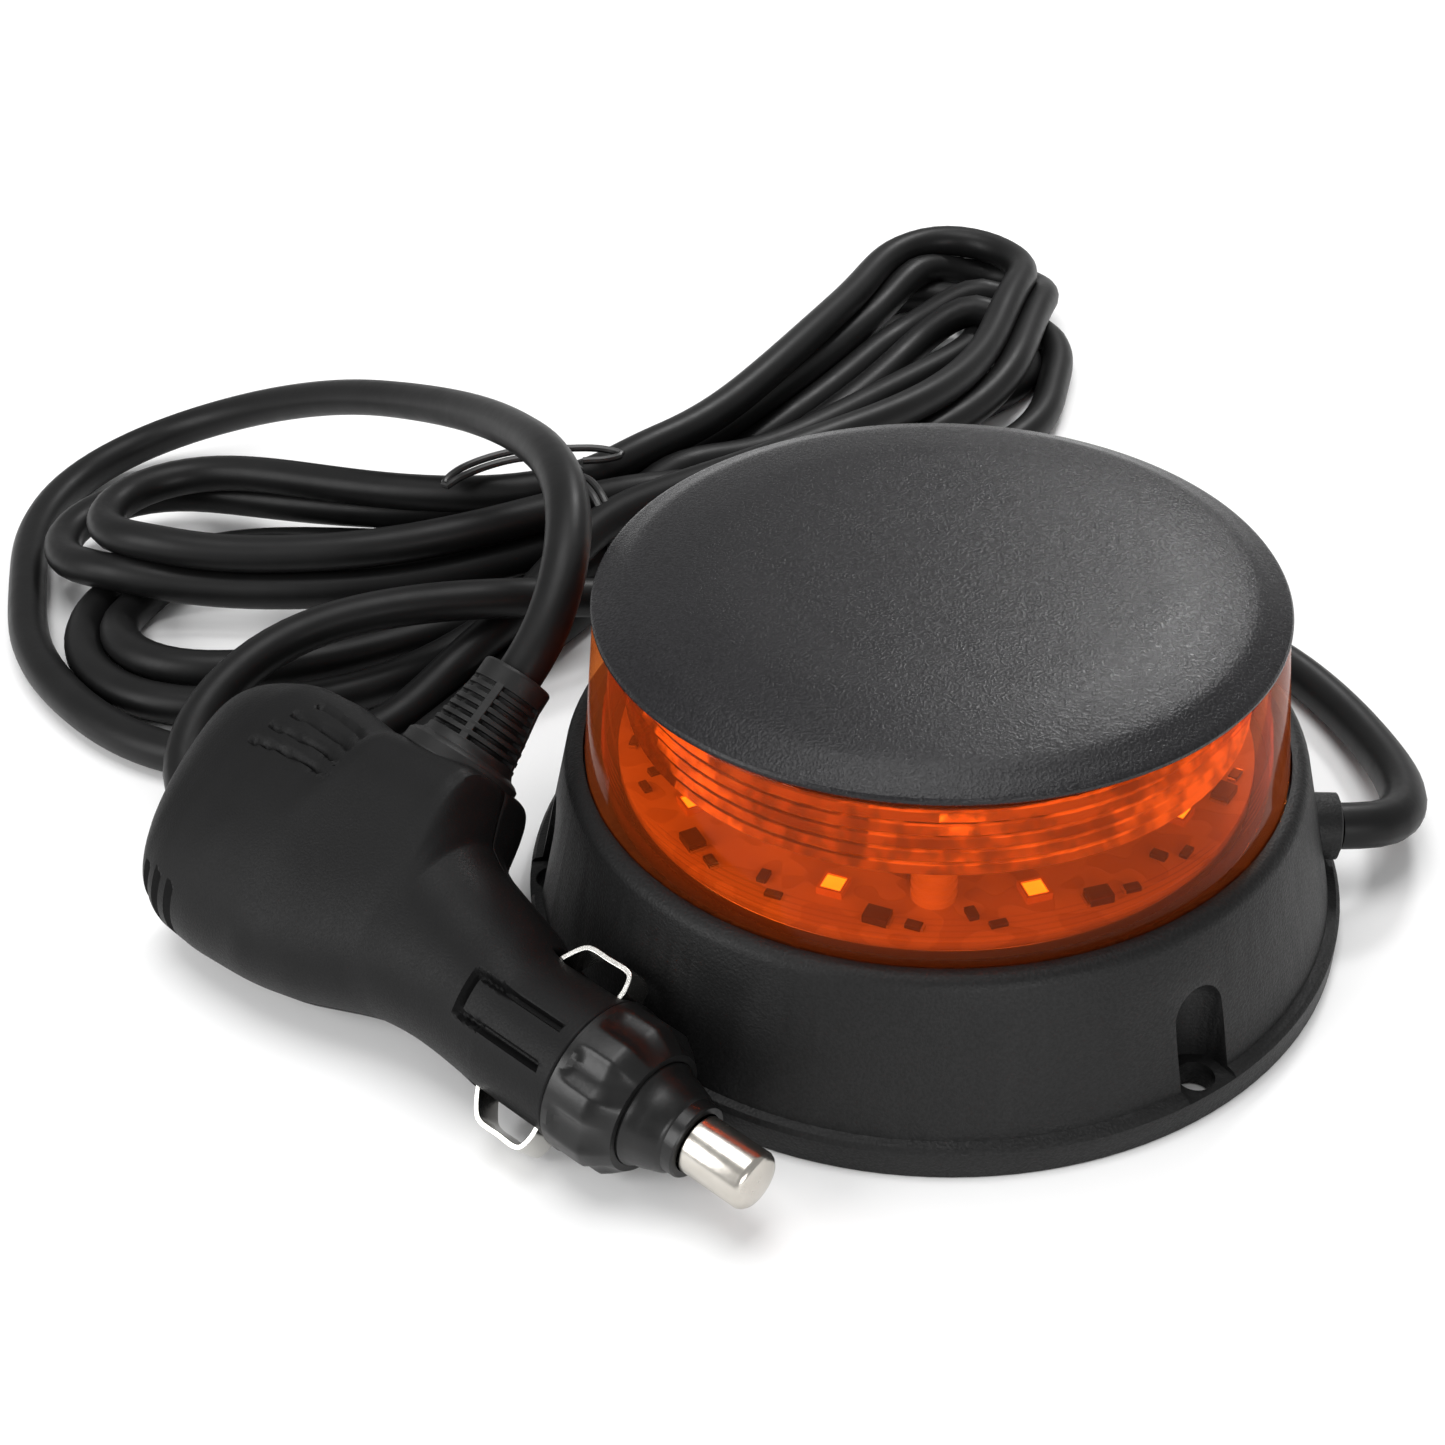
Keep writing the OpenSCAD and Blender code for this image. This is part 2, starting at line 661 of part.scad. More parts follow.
module nose_cone() {
    color([0.08, 0.08, 0.08]) in_plug() difference() {
        union() {
            along(spigot_l + 0.2, ring_lip_x - 0.1, ring_bore_r - 0.4);
            along(spigot_l + 0.2, ring_l + 0.4, cone_r);
            along(ring_l + 0.4, nose_x - 2, cone_r, pin_r + 1.4);
            along(nose_x - 2, nose_x, pin_r + 1.1);
        }
        along(spigot_l - 1, nose_x - 3, cone_bore_r);
        along(0, nose_x + 1, pin_r + 0.08);
    }
}

module tip_pin() {
    tip_x = nose_x + pin_out;
    free_x = nose_x + 0.3;
    shank_r = pin_r - 0.55;
    color([0.85, 0.83, 0.78]) in_plug() {
        along(pin_back, nose_x - 3.1, pin_collar_r);
        along(nose_x - 3.1, free_x, shank_r);
        along(free_x, tip_x - 0.8, pin_r);
        along(tip_x - 0.8, tip_x, pin_r, pin_r - 0.8);
    }
}

module fuse() {
    color([0.8, 0.85, 0.85]) in_plug() {
        along(pin_back - fuse_l, pin_back - fuse_l + 6, fuse_r);
        along(pin_back - fuse_l + 6, pin_back - 6, fuse_r - 0.2);
        along(pin_back - 6, pin_back, fuse_r);
    }
}

// Square-wire rings on a thin sleeve stand for the coil
module fuse_spring() {
    back = pin_back - fuse_l - pin_travel - 0.2 - spring_l;
    color([0.7, 0.7, 0.72]) in_plug() {
        difference() {
            along(back, back + spring_l, 2.3);
            along(back - 1, back + spring_l + 1, 1.9);
        }
        for (i = [0:5]) difference() {
            along(back + i * 1.6, back + i * 1.6 + 0.8, 2.9);
            along(back + i * 1.6 - 1, back + i * 1.6 + 2, 2.3);
        }
    }
}

module centre_contact() {
    face = pin_back - fuse_l - pin_travel - 0.2 - spring_l;
    color([0.8, 0.65, 0.3]) in_plug() {
        along(face - 1, face, 5);
        translate([face - 5, -2, -0.4]) cube([4, 4, 0.8]);
    }
}

module side_contact() {
    out = barrel_r + contact_out;
    leg = shell_bore_r - 1.6;
    linear_extrude(height = contact_w, center = true) polygon([
        [window_x[0] + 0.4, leg], [window_x[0] + 0.8, barrel_r], [-9.6, out], [-2.6, out],
        [window_x[1] - 0.4, barrel_r], [window_x[1] - 0.6, leg],
        [window_x[1] - 0.6 - strip_t, leg], [window_x[1] - 1.2, barrel_r - 0.2],
        [-3, out - strip_t], [-9.2, out - strip_t],
        [window_x[0] + 1.7, barrel_r - 0.2], [window_x[0] + 0.4 + strip_t, leg]]);
}

module side_contact_near() {
    color([0.8, 0.8, 0.8]) in_plug() mirror([0, 1, 0]) side_contact();
}

module side_contact_far() {
    color([0.8, 0.8, 0.8]) in_plug() side_contact();
}

module plug_cores() {
    for (s = [-1, 1]) color(s < 0 ? "red" : "black") in_plug()
        translate([boot_at[0] + s * 1.6, 9, 0]) rotate([-90, 0, 0])
            cylinder(h = boss_top - 15, r = 0.9);
}

// ---- Lead ----

module lead_stub() {
    color([0.07, 0.07, 0.07]) {
        translate([bay_r - 4, 0, exit_z]) rotate([0, 90, 0])
            cylinder(h = exit_x - bay_r + 4, r = lead_r);
        in_plug() translate([boot_at[0], boss_top - 6, 0]) rotate([-90, 0, 0])
            cylinder(h = boot_l + 6, r = lead_r);
    }
}

module lead_tail() {
    color([0.07, 0.07, 0.07]) tube(tail_route, lead_r);
}

module plug_lead() {
    start = plug_point([boot_at[0], boot_top, 0]);
    color([0.07, 0.07, 0.07]) tube(concat([start], plug_route), lead_r);
}

// A band with round ends, wider at one end than at the other
module lobe(a, ra, b, rb) {
    hull() {
        translate(a) circle(r = ra);
        translate(b) circle(r = rb);
    }
}

module tie_band(grow = 0) {
    half = hank_tie_r + tie_t + 0.6;
    translate([hank_tie[0], hank_tie[1], 0]) rotate([0, 0, tie_turn]) difference() {
        translate([-tie_w / 2 - grow, -half, 0]) cube([tie_w + 2 * grow, 2 * half, hank_h + tie_t]);
        translate([-tie_w, -half + tie_t, tie_t])
            cube([2 * tie_w, 2 * (half - tie_t), hank_h - tie_t]);
    }
}

module cord_hank() {
    color([0.07, 0.07, 0.07]) difference() {
        linear_extrude(height = hank_h) {
            lobe(hank_left, hank_left_r, hank_tie, hank_tie_r - 1);
            lobe(hank_front, hank_front_r, hank_tie, hank_tie_r - 2);
            lobe(hank_right, hank_right_r, hank_tie, hank_tie_r);
        }
        tie_band(0.3);
    }
}

module twist_tie() {
    color([0.05, 0.05, 0.05]) tie_band();
}

base_housing();
foot_gasket();
bottom_plate();
bottom_screws();
vent_plug();
magnet_cup();
magnet_ring();
magnet_pad();
heat_spreader();
driver_board();
board_screws();
inductor();
capacitors();
driver_chips();
wire_connector();
lead_cores();
cord_grip();
lead_grommet();
led_board();
led_chips();
reflector_ring();
lens_ring();
lens_seal();
cap_seal();
top_cap();
stack_screws();
grip_shell_upper();
grip_shell_lower();
shell_screws();
lead_boot();
nose_ring();
nose_cone();
tip_pin();
fuse();
fuse_spring();
centre_contact();
side_contact_near();
side_contact_far();
plug_cores();
lead_stub();
lead_tail();
cord_hank();
twist_tie();
plug_lead();
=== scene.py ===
"""Looks of a low amber warning beacon with its lead, tied hank and vehicle power plug."""

import math

import bmesh
import bpy
import numpy as np
from mathutils import Matrix, Vector


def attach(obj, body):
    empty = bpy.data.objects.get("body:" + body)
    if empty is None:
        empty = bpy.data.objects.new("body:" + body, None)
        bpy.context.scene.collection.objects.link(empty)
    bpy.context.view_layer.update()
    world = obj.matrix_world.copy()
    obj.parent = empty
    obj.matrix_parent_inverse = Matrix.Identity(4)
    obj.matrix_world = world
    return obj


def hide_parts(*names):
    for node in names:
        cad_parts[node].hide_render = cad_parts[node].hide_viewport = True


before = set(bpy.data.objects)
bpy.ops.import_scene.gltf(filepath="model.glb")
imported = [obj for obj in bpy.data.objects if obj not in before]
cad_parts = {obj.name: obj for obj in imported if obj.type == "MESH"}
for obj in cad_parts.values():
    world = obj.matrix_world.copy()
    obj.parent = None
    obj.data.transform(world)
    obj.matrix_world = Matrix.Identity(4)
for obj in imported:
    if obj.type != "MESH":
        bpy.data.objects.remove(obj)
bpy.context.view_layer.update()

# ---- Camera, floor and soft studio light ----
# One camera looks down at the beacon's front from above the plug.
# Four soft boxes and a pale surround light a plain pale floor.

MM = 0.001
camera = bpy.data.objects.new("camera", bpy.data.cameras.new("camera"))
camera.data.sensor_width = 36
camera.data.lens = 49.8
camera.data.clip_start = 0.01
look_right = Vector((0.9963, 0.0784, -0.0350))
look_up = Vector((-0.0180, 0.5889, 0.8080))
look_back = Vector((0.0840, -0.8044, 0.5881))
camera.matrix_world = Matrix.Translation(Vector((-6.0, -237.4, 201.6)) * MM) @ Matrix(
    (look_right, look_up, look_back)).transposed().to_4x4()
bpy.context.scene.collection.objects.link(camera)
bpy.context.scene.camera = camera


def soft_box(name, place, aim, size, power):
    box = bpy.data.objects.new(name, bpy.data.lights.new(name, "AREA"))
    box.data.shape = "RECTANGLE"
    box.data.size, box.data.size_y = size
    box.data.energy = power
    box.location = place
    box.rotation_euler = (Vector(aim) - Vector(place)).to_track_quat("-Z", "Y").to_euler()
    bpy.context.scene.collection.objects.link(box)


soft_box("box_over", (-0.1, 0.1, 1.3), (-0.05, 0.05, 0), (0.8, 0.7), 9)
soft_box("box_behind", (0.24, 0.66, 0.60), (0.031, -0.022, 0.055), (0.16, 0.10), 2.6)
soft_box("box_left", (-0.9, -0.5, 0.55), (-0.05, 0, 0.03), (0.5, 0.7), 7)
soft_box("box_front", (0.35, -1.0, 0.35), (0, 0, 0.03), (0.6, 0.3), 4)
surround = bpy.data.worlds.new("surround")
surround.use_nodes = True
surround.node_tree.nodes["Background"].inputs[0].default_value = (1, 1, 1, 1)
surround.node_tree.nodes["Background"].inputs[1].default_value = 0.42
bpy.context.scene.world = surround
bpy.context.scene.view_settings.view_transform = "Standard"


class Wire:
    """One socket of a finish's nodes. Sums written on it add Math nodes."""

    def __init__(self, finish, socket):
        self.finish, self.socket = finish, socket

    def math(self, operation, first, second):
        return self.finish.node("Math", {"operation": operation}, {0: first, 1: second})

    def __add__(self, other):
        return self.math("ADD", self, other)

    def __radd__(self, other):
        return self.math("ADD", other, self)

    def __sub__(self, other):
        return self.math("SUBTRACT", self, other)

    def __rsub__(self, other):
        return self.math("SUBTRACT", other, self)

    def __mul__(self, other):
        return self.math("MULTIPLY", self, other)

    def __rmul__(self, other):
        return self.math("MULTIPLY", other, self)

    def __gt__(self, other):
        return self.math("GREATER_THAN", self, other)


class Finish:
    """A material being made node by node round one Principled shader."""

    def __init__(self, name, colour, roughness, **constants):
        self.material = bpy.data.materials.new(name)
        self.material.use_nodes = True
        self.tree = self.material.node_tree
        self.shader = self.tree.nodes["Principled BSDF"]
        self.set(Base_Color=(*colour, 1), Roughness=roughness, **constants)

    def node(self, kind, settings=None, sockets=None, out=0):
        made = self.tree.nodes.new("ShaderNode" + kind)
        for key, value in (settings or {}).items():
            if key == "stops":
                for stop, (at, shade) in zip(made.color_ramp.elements, value):
                    stop.position, stop.color = at, (shade, shade, shade, 1)
            else:
                setattr(made, key, value)
        for key, value in (sockets or {}).items():
            self.feed(made.inputs[key], value)
        return Wire(self, made.outputs[out])

    def feed(self, socket, value):
        if isinstance(value, Wire):
            self.tree.links.new(value.socket, socket)
        else:
            socket.default_value = value

    def set(self, **sockets):
        for key, value in sockets.items():
            self.feed(self.shader.inputs[key.replace("_", " ")], value)

    def place(self):
        return self.node("TexCoord", out=3)

    def axis(self, name):
        return self.node("SeparateXYZ", None, {0: self.place()}, out="XYZ".index(name))

    def grain(self, size, detail=2.0, stretch=(1, 1, 1)):
        """Noise with grains of that size in millimetres, about 0.5 on average."""
        spot = self.node("VectorMath", {"operation": "MULTIPLY"}, {0: self.place(), 1: stretch})
        return self.node("TexNoise", None, {"Vector": spot, "Scale": 1 / (size * MM),
                                            "Detail": detail, "Roughness": 0.55})

    def ramp(self, wire, low, high, dark=0.0, light=1.0):
        return self.node("ValToRGB", {"stops": ((low, dark), (high, light))}, {0: wire})

    def mix(self, share, first, second):
        colours = {6: first, 7: second}
        for key, colour in colours.items():
            colours[key] = colour if isinstance(colour, Wire) else (*colour, 1)
        return self.node("Mix", {"data_type": "RGBA"}, {0: share, **colours}, out=2)

    def bump(self, height, depth, strength=1.0):
        """Relief from a height of 0 to 1, depth in millimetres."""
        self.set(Normal=self.node("Bump", None, {"Height": height, "Strength": strength,
                                                 "Distance": depth * MM}))


def add_piece(name, points, faces, finish, slot, smooth=35, body="lamp", instead=(), place=None,
              bevel=0.0):
    """A mesh piece from points in millimetres, joined where points meet, on its body."""
    mesh = bpy.data.meshes.new(name)
    mesh.from_pydata([tuple(p) for p in np.asarray(points, float) * MM], [], faces)
    piece = bpy.data.objects.new(name, mesh)
    bpy.context.scene.collection.objects.link(piece)
    if place is not None:
        mesh.transform(place)
    dress(piece, finish, smooth, body, instead, bevel)
    return piece


def dress(piece, finish, smooth, body, instead, bevel):
    """Closes a piece's mesh, rounds or smooths its edges and fixes it to its body."""
    mesh = piece.data
    tidy = bmesh.new()
    tidy.from_mesh(mesh)
    bmesh.ops.remove_doubles(tidy, verts=tidy.verts, dist=0.002 * MM)
    bmesh.ops.dissolve_degenerate(tidy, edges=tidy.edges, dist=0.001 * MM)
    if bevel:
        bmesh.ops.dissolve_limit(tidy, angle_limit=math.radians(0.8), verts=tidy.verts,
                                 edges=tidy.edges)
    bmesh.ops.recalc_face_normals(tidy, faces=tidy.faces)
    tidy.to_mesh(mesh)
    tidy.free()
    mesh.materials.append(finish.material)
    mesh.shade_smooth()
    if bevel:
        edge = piece.modifiers.new("edge", "BEVEL")
        edge.width = bevel * MM
        edge.segments = 3
        edge.limit_method = "ANGLE"
        edge.angle_limit = math.radians(32)
        edge.harden_normals = True
    else:
        mesh.set_sharp_from_angle(angle=math.radians(smooth))
    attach(piece, body)
    if instead:
        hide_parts(*instead)


floor_finish = Finish("floor_paper", (0.93, 0.93, 0.93), 0.7)
floor_finish.bump(floor_finish.grain(2.0), 0.02)
floor_mesh = bpy.data.meshes.new("floor")
FLOOR_HALF, FLOOR_Z = 4, -0.0002
floor_mesh.from_pydata([(x * FLOOR_HALF, y * FLOOR_HALF, FLOOR_Z) for x, y in
                        ((-1, -1), (1, -1), (1, 1), (-1, 1))], [], [(0, 1, 2, 3)])
floor_mesh.materials.append(floor_finish.material)
floor = bpy.data.objects.new("floor", floor_mesh)
bpy.context.scene.collection.objects.link(floor)

# ---- Lead ----
# One 7 mm round lead with a black PVC jacket, about 3.2 m long, from the beacon's gland,
# behind the beacon into the tied hank, over the hank and into the boot of the plug.

LEAD_D = 7.0
LEAD_R = LEAD_D / 2
lead_exit = (60.5, 0, 11)
tail_route = [lead_exit, (63, 0.2, 11), (67, 1.5, 10.4), (70.5, 4.6, 9.4), (72.7, 9.2, 8.2),
              (73.4, 14.8, 7), (73.2, 21, 5.8), (72.2, 28, 4.6), (70.6, 35, 3.8), (68.2, 42, 3.5),
              (64.8, 49, 3.5), (60, 56.5, 3.5), (53, 63.5, 3.5), (44, 69.5, 3.5), (34, 73.5, 3.5),
              (23, 76, 3.5), (11, 77, 3.5), (-1, 76.5, 3.5), (-13, 74.5, 3.8), (-25, 71.5, 4.8),
              (-37, 67.5, 6.8), (-48, 63, 9.4), (-58, 58, 12.4), (-67, 53.2, 15.2),
              (-76, 49.6, 17.2), (-85, 47.5, 18)]
turn_route = [(-107, 40.5, 16.5), (-113, 35, 15), (-118, 28, 13), (-121, 19.5, 10.5),
              (-121, 10, 8), (-116.5, 2, 5.5), (-108, -1.5, 4), (-99.5, 2, 3.5), (-93.5, 9, 3.5),
              (-88.5, 18, 3.5), (-84, 28, 3.5), (-79.5, 38, 3.5), (-75, 48, 3.5), (-70, 58, 3.5),
              (-64.5, 68, 3.5)]
rise_route = [(-64, 69, 14.5), (-70, 58, 11), (-77, 47, 7), (-83, 38, 4.5), (-91, 29, 3.5),
              (-101, 22.5, 3.5), (-112, 19.5, 3.5), (-125, 21, 3.5), (-138, 27.5, 3.5),
              (-151, 39, 3.5), (-163, 54, 3.5)]
plug_route = [(-59.95, -2.0, 37.25), (-57.6, 1.3, 40.2), (-55.3, 6.4, 44.3), (-54, 13.6, 48.7),
              (-54.6, 22.7, 51.2), (-57.6, 33, 51.2), (-62.6, 45, 49), (-69, 58, 45),
              (-77, 72, 40.4), (-87, 86, 35.2), (-99, 99, 30), (-112, 110.5, 25),
              (-125, 119.5, 19.6), (-138, 126, 14.4), (-150, 129, 9.8), (-161, 128.5, 6.4),
              (-169, 124, 4.4), (-174.5, 116, 3.5), (-176.6, 105, 3.5), (-176.2, 94, 3.5),
              (-174, 84, 3.5), (-170, 74.5, 3.5)]
tie_at = np.array((-65.0, 86.0, 0.0))
tie_across = np.array((-0.53, 0.848, 0.0))
# Each turn of the hank: its centre, radius and height, the place in the tie that it comes from
# (across, row), and the points that lead it to its bend and away from it
turns = [
    ((9, 170), 16.5, 3.5, (-10.5, 0), [], []),
    ((-129, 63), 21, 6, (-3.5, 0), [(-75, 68, 4), (-94, 56, 4), (-112, 45, 5)], []),
    ((13.5, 180), 16.5, 3.5, (3.5, 0), [],
     [(27, 150, 3.5), (17, 131, 3.5), (-6, 111, 5), (-32, 93, 8)]),
    ((-126, 62), 27.5, 3.5, (-10.5, 1), [(-72, 63, 7), (-88, 47, 4), (-106, 36.5, 3.5)], []),
    ((1, 191), 16.5, 3.5, (10.5, 0), [], []),
    ((-150, 86), 17.5, 7.5, (-3.5, 1), [(-90, 70.5, 8.5), (-112, 66, 8), (-134, 67.5, 7.5)], []),
    ((11.5, 199), 16.5, 6, (10.5, 1), [], [(20, 160, 7), (7, 134, 9), (-19, 107, 12)]),
    ((-141, 84), 16.5, 13.5, (-3.5, 2), [(-83, 73.5, 16.5), (-103, 68, 15.5), (-125, 68.5, 14)],
     []),
    ((7.5, 200), 16.5, 11.5, (3.5, 2), [], [(15.5, 165, 13), (2, 132, 14.5), (-24, 103, 16.5)]),
]


def tie_slot(across, row):
    """The centre of one run of the lead inside the tie."""
    return tie_at + tie_across * across + np.array((0, 0, LEAD_R + LEAD_D * row))


def smooth_line(points, step):
    """An even Catmull-Rom line through points, with its points step millimetres apart."""
    points = np.array(points, float)
    knots = np.concatenate([[0], np.cumsum(
        np.sqrt(np.linalg.norm(np.diff(points, axis=0), axis=1)))])
    line = []
    for i in range(len(points) - 1):
        p1, p2 = points[i], points[i + 1]
        p0 = points[i - 1] if i > 0 else 2 * p1 - p2
        p3 = points[i + 2] if i + 2 < len(points) else 2 * p2 - p1
        t1, t2 = knots[i], knots[i + 1]
        t0 = knots[i - 1] if i > 0 else 2 * t1 - t2
        t3 = knots[i + 2] if i + 2 < len(points) else 2 * t2 - t1
        for t in np.linspace(t1, t2, 12, endpoint=False):
            a1 = ((t1 - t) * p0 + (t - t0) * p1) / (t1 - t0)
            a2 = ((t2 - t) * p1 + (t - t1) * p2) / (t2 - t1)
            a3 = ((t3 - t) * p2 + (t - t2) * p3) / (t3 - t2)
            b1 = ((t2 - t) * a1 + (t - t0) * a2) / (t2 - t0)
            b2 = ((t3 - t) * a2 + (t - t1) * a3) / (t3 - t1)
            line.append(((t2 - t) * b1 + (t - t1) * b2) / (t2 - t1))
    line = np.array(line + [points[-1]])
    along = np.concatenate([[0], np.cumsum(np.linalg.norm(np.diff(line, axis=0), axis=1))])
    marks = np.linspace(0, along[-1], int(round(along[-1] / step)) + 1)
    return np.stack([np.interp(marks, along, line[:, k]) for k in range(3)], 1)


LINE_STEP, SETTLE_ROUNDS = 4, 400


def settle(line):
    """Pushes crossing runs a diameter apart, evens the bends and keeps the line on the floor."""
    guide, count = line.copy(), len(line)
    apart = LEAD_D * 1.01
    first, second = np.triu_indices(count, int(1.8 * LEAD_D / LINE_STEP) + 1)
    for turn in range(SETTLE_ROUNDS):
        if turn % 12 == 0:
            close = (np.abs(line[first] - line[second]) < LEAD_D * 1.6).all(1)
            i_near, j_near = first[close], second[close]
        gap = line[i_near] - line[j_near]
        length = np.linalg.norm(gap, axis=1)
        touch = length < apart
        i, j, gap, length = i_near[touch], j_near[touch], gap[touch], length[touch]
        push = (0.35 * (apart - length) / np.maximum(length, 1e-6))[:, None] * gap
        moved, times = np.zeros_like(line), np.zeros(count)
        for ends, share in ((i, push), (j, -push)):
            np.add.at(moved, ends, share)
            np.add.at(times, ends, 1)
        line = line + moved / np.maximum(times, 1)[:, None]
        curve, bend = np.zeros_like(line), np.zeros_like(line)
        curve[1:-1] = (line[:-2] + line[2:]) / 2 - line[1:-1]
        bend[1:-1] = (curve[:-2] + curve[2:]) / 2 - curve[1:-1]
        line = line - 0.45 * bend + 0.035 * curve
        line += 0.01 * (guide - line)
        line[:, 2] = np.maximum(line[:, 2], LEAD_R)
        line[:3], line[-3:] = guide[:3], guide[-3:]
    return line


way = [np.array(p, float) for p in tail_route + turn_route]
for centre, radius, height, slot_at, before, after in turns:
    start, middle = tie_slot(*slot_at), np.array((*centre, height), float)
    out = (middle - start) * (1, 1, 0)
    out /= np.linalg.norm(out)
    side = np.array((-out[1], out[0], 0))
    way += [start, *before]
    way += [middle + radius * (side * math.cos(a) + out * math.sin(a))
            for a in np.radians(np.linspace(-10, 190, 13))]
    way += after
way += [tie_slot(-10.5, 2), *rise_route, *plug_route[::-1]]
lead_line = settle(smooth_line(way, LINE_STEP))

jacket = Finish("lead_jacket", (0.005, 0.005, 0.005), 0.42, Specular_IOR_Level=0.2)
jacket.set(Base_Color=jacket.mix(jacket.grain(9), (0.0035, 0.0035, 0.0035), (0.009, 0.009, 0.0092)),
           Roughness=0.36 + 0.14 * jacket.grain(3.5))
jacket.bump(jacket.grain(1.1, 4) * 0.7 + jacket.grain(6) * 0.3, 0.035, 0.6)

lead_points = smooth_line(lead_line, 3)
lead_curve = bpy.data.curves.new("lead", "CURVE")
lead_curve.dimensions = "3D"
lead_curve.bevel_depth = LEAD_R * MM
lead_curve.bevel_resolution = 6
lead_curve.use_fill_caps = True
spline = lead_curve.splines.new("POLY")
spline.points.add(len(lead_points) - 1)
for point, at in zip(spline.points, lead_points):
    point.co = (*(at * MM), 1)
spline.use_smooth = True
lead_curve.materials.append(jacket.material)
lead = bpy.data.objects.new("lead", lead_curve)
bpy.context.scene.collection.objects.link(lead)
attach(lead, "lamp")
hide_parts("lead_tail", "cord_hank", "plug_lead")

# ---- Base housing ----
# A die-cast aluminium base with three screw pockets in its flange and the lead's boss,
# coated in matt black sand-textured powder.


GRIT = 0.42


def sand_coat(name, dark, light, rough, depth):
    """A textured powder coat whose relief is as deep as given, in millimetres."""
    coat = Finish(name, light, rough, Specular_IOR_Level=0.25)
    grit_map = coat.ramp(coat.grain(GRIT, 3), 0.36, 0.66)
    coat.set(Base_Color=coat.mix(grit_map * 0.75 + coat.grain(18) * 0.25, dark, light),
             Roughness=rough - 0.10 * grit_map + 0.06 * coat.grain(6))
    coat.bump(grit_map * 0.8 + coat.grain(GRIT * 3) * 0.5, depth, 0.8)
    return coat


def node_copy(name, node, finish, body="lamp", bevel=0.3):
    """The shape of a CAD piece with its edges rounded as a cast or moulded edge is."""
    piece = bpy.data.objects.new(name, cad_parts[node].data.copy())
    piece.data.materials.clear()
    bpy.context.scene.collection.objects.link(piece)
    dress(piece, finish, 35, body, (node,), bevel)


base_coat = sand_coat("base_coat", (0.003, 0.003, 0.003), (0.009, 0.009, 0.0092), 0.5, 0.05)
node_copy("base_shell", "base_housing", base_coat, bevel=0.45)

seal_rubber = Finish("seal_rubber", (0.012, 0.012, 0.012), 0.62)
seal_rubber.set(Base_Color=seal_rubber.mix(seal_rubber.grain(4), (0.008, 0.008, 0.008),
                                           (0.02, 0.02, 0.02)))
seal_rubber.bump(seal_rubber.grain(0.8, 3), 0.03)
for seal in ("foot_gasket", "lens_seal", "cap_seal", "lead_grommet"):
    node_copy(seal + "_rubber", seal, seal_rubber, bevel=0.12)

# ---- Foot: bottom plate, magnet, screws and vent ----
# A stamped aluminium plate holds a plated steel cup with a ferrite ring under a rubber pad.
# Four cross-head screws fix it, and a porous plug lets the housing breathe.


def brushed(name, colour, rough, stretch):
    """A metal whose fine lines run along the axis where stretch is small."""
    metal = Finish(name, colour, rough, Metallic=1.0)
    lines = metal.grain(0.7, 3, stretch)
    pale = tuple(min(1, c * 1.18) for c in colour)
    metal.set(Base_Color=metal.mix(metal.grain(7), colour, pale),
              Roughness=rough - 0.08 + 0.16 * lines)
    metal.bump(lines, 0.01)
    return metal


plate_alu = brushed("plate_alu", (0.60, 0.61, 0.63), 0.34, (1, 0.05, 1))
screw_steel = brushed("screw_steel", (0.52, 0.52, 0.53), 0.28, (1, 1, 0.2))
cup_steel = brushed("cup_steel", (0.56, 0.57, 0.58), 0.26, (1, 1, 0.1))
magnet_grey = Finish("magnet_grey", (0.05, 0.05, 0.052), 0.55, Metallic=0.3)
magnet_grey.set(Base_Color=magnet_grey.mix(magnet_grey.grain(0.9, 4), (0.035, 0.035, 0.037),
                                           (0.085, 0.085, 0.09)))
magnet_grey.bump(magnet_grey.grain(0.6, 4), 0.04)
vent_black = Finish("core_sleeve", (0.02, 0.02, 0.02), 0.6)
vent_black.bump(vent_black.grain(0.5, 3), 0.03)
node_copy("plate_stamped", "bottom_plate", plate_alu, bevel=0.25)
node_copy("plate_screws", "bottom_screws", screw_steel, bevel=0.12)
node_copy("vent_porous", "vent_plug", vent_black, bevel=0.2)
node_copy("magnet_cup_steel", "magnet_cup", cup_steel, bevel=0.3)
node_copy("magnet_ferrite", "magnet_ring", magnet_grey, bevel=0.3)


def round_faces(steps, rows):
    """Faces between the outlines, each of some rows of points, that stand round an axis."""
    faces = []
    for k in range(steps):
        for i in range(rows):
            j, m = (i + 1) % rows, (k + 1) % steps
            faces.append((k * rows + i, m * rows + i, m * rows + j, k * rows + j))
    return faces


def turned(profile, steps):
    """Points and faces of a closed (radius, height) outline turned about the z axis."""
    points = []
    for k in range(steps):
        a = math.radians(360.0 * k / steps)
        points += [(r * math.cos(a), r * math.sin(a), z) for r, z in profile]
    return points, round_faces(steps, len(profile))


# The pad's face has moulded rings that grip the surface under it
pad_rubber = Finish("pad_rubber", (0.014, 0.014, 0.014), 0.7)
pad_rubber.set(Base_Color=pad_rubber.mix(pad_rubber.grain(3), (0.009, 0.009, 0.009),
                                         (0.024, 0.024, 0.023)))
pad_rubber.bump(pad_rubber.grain(0.9, 4), 0.05)
PAD_R, PAD_RINGS, RING_PITCH = 27.5, 9, 2.7
pad_outline = [(0, 1), (0, 0.25)]
for ring in range(PAD_RINGS):
    r = 2.5 + ring * RING_PITCH
    pad_outline += [(r, 0.25), (r + 0.3, 0), (r + 1.3, 0), (r + 1.6, 0.25)]
pad_outline += [(PAD_R - 0.4, 0.1), (PAD_R, 0.45), (PAD_R, 0.8), (PAD_R - 0.2, 1)]
add_piece("magnet_pad_ringed", *turned(pad_outline, 120), pad_rubber, slot="pad_rubber",
          instead=("magnet_pad",), bevel=0.08)

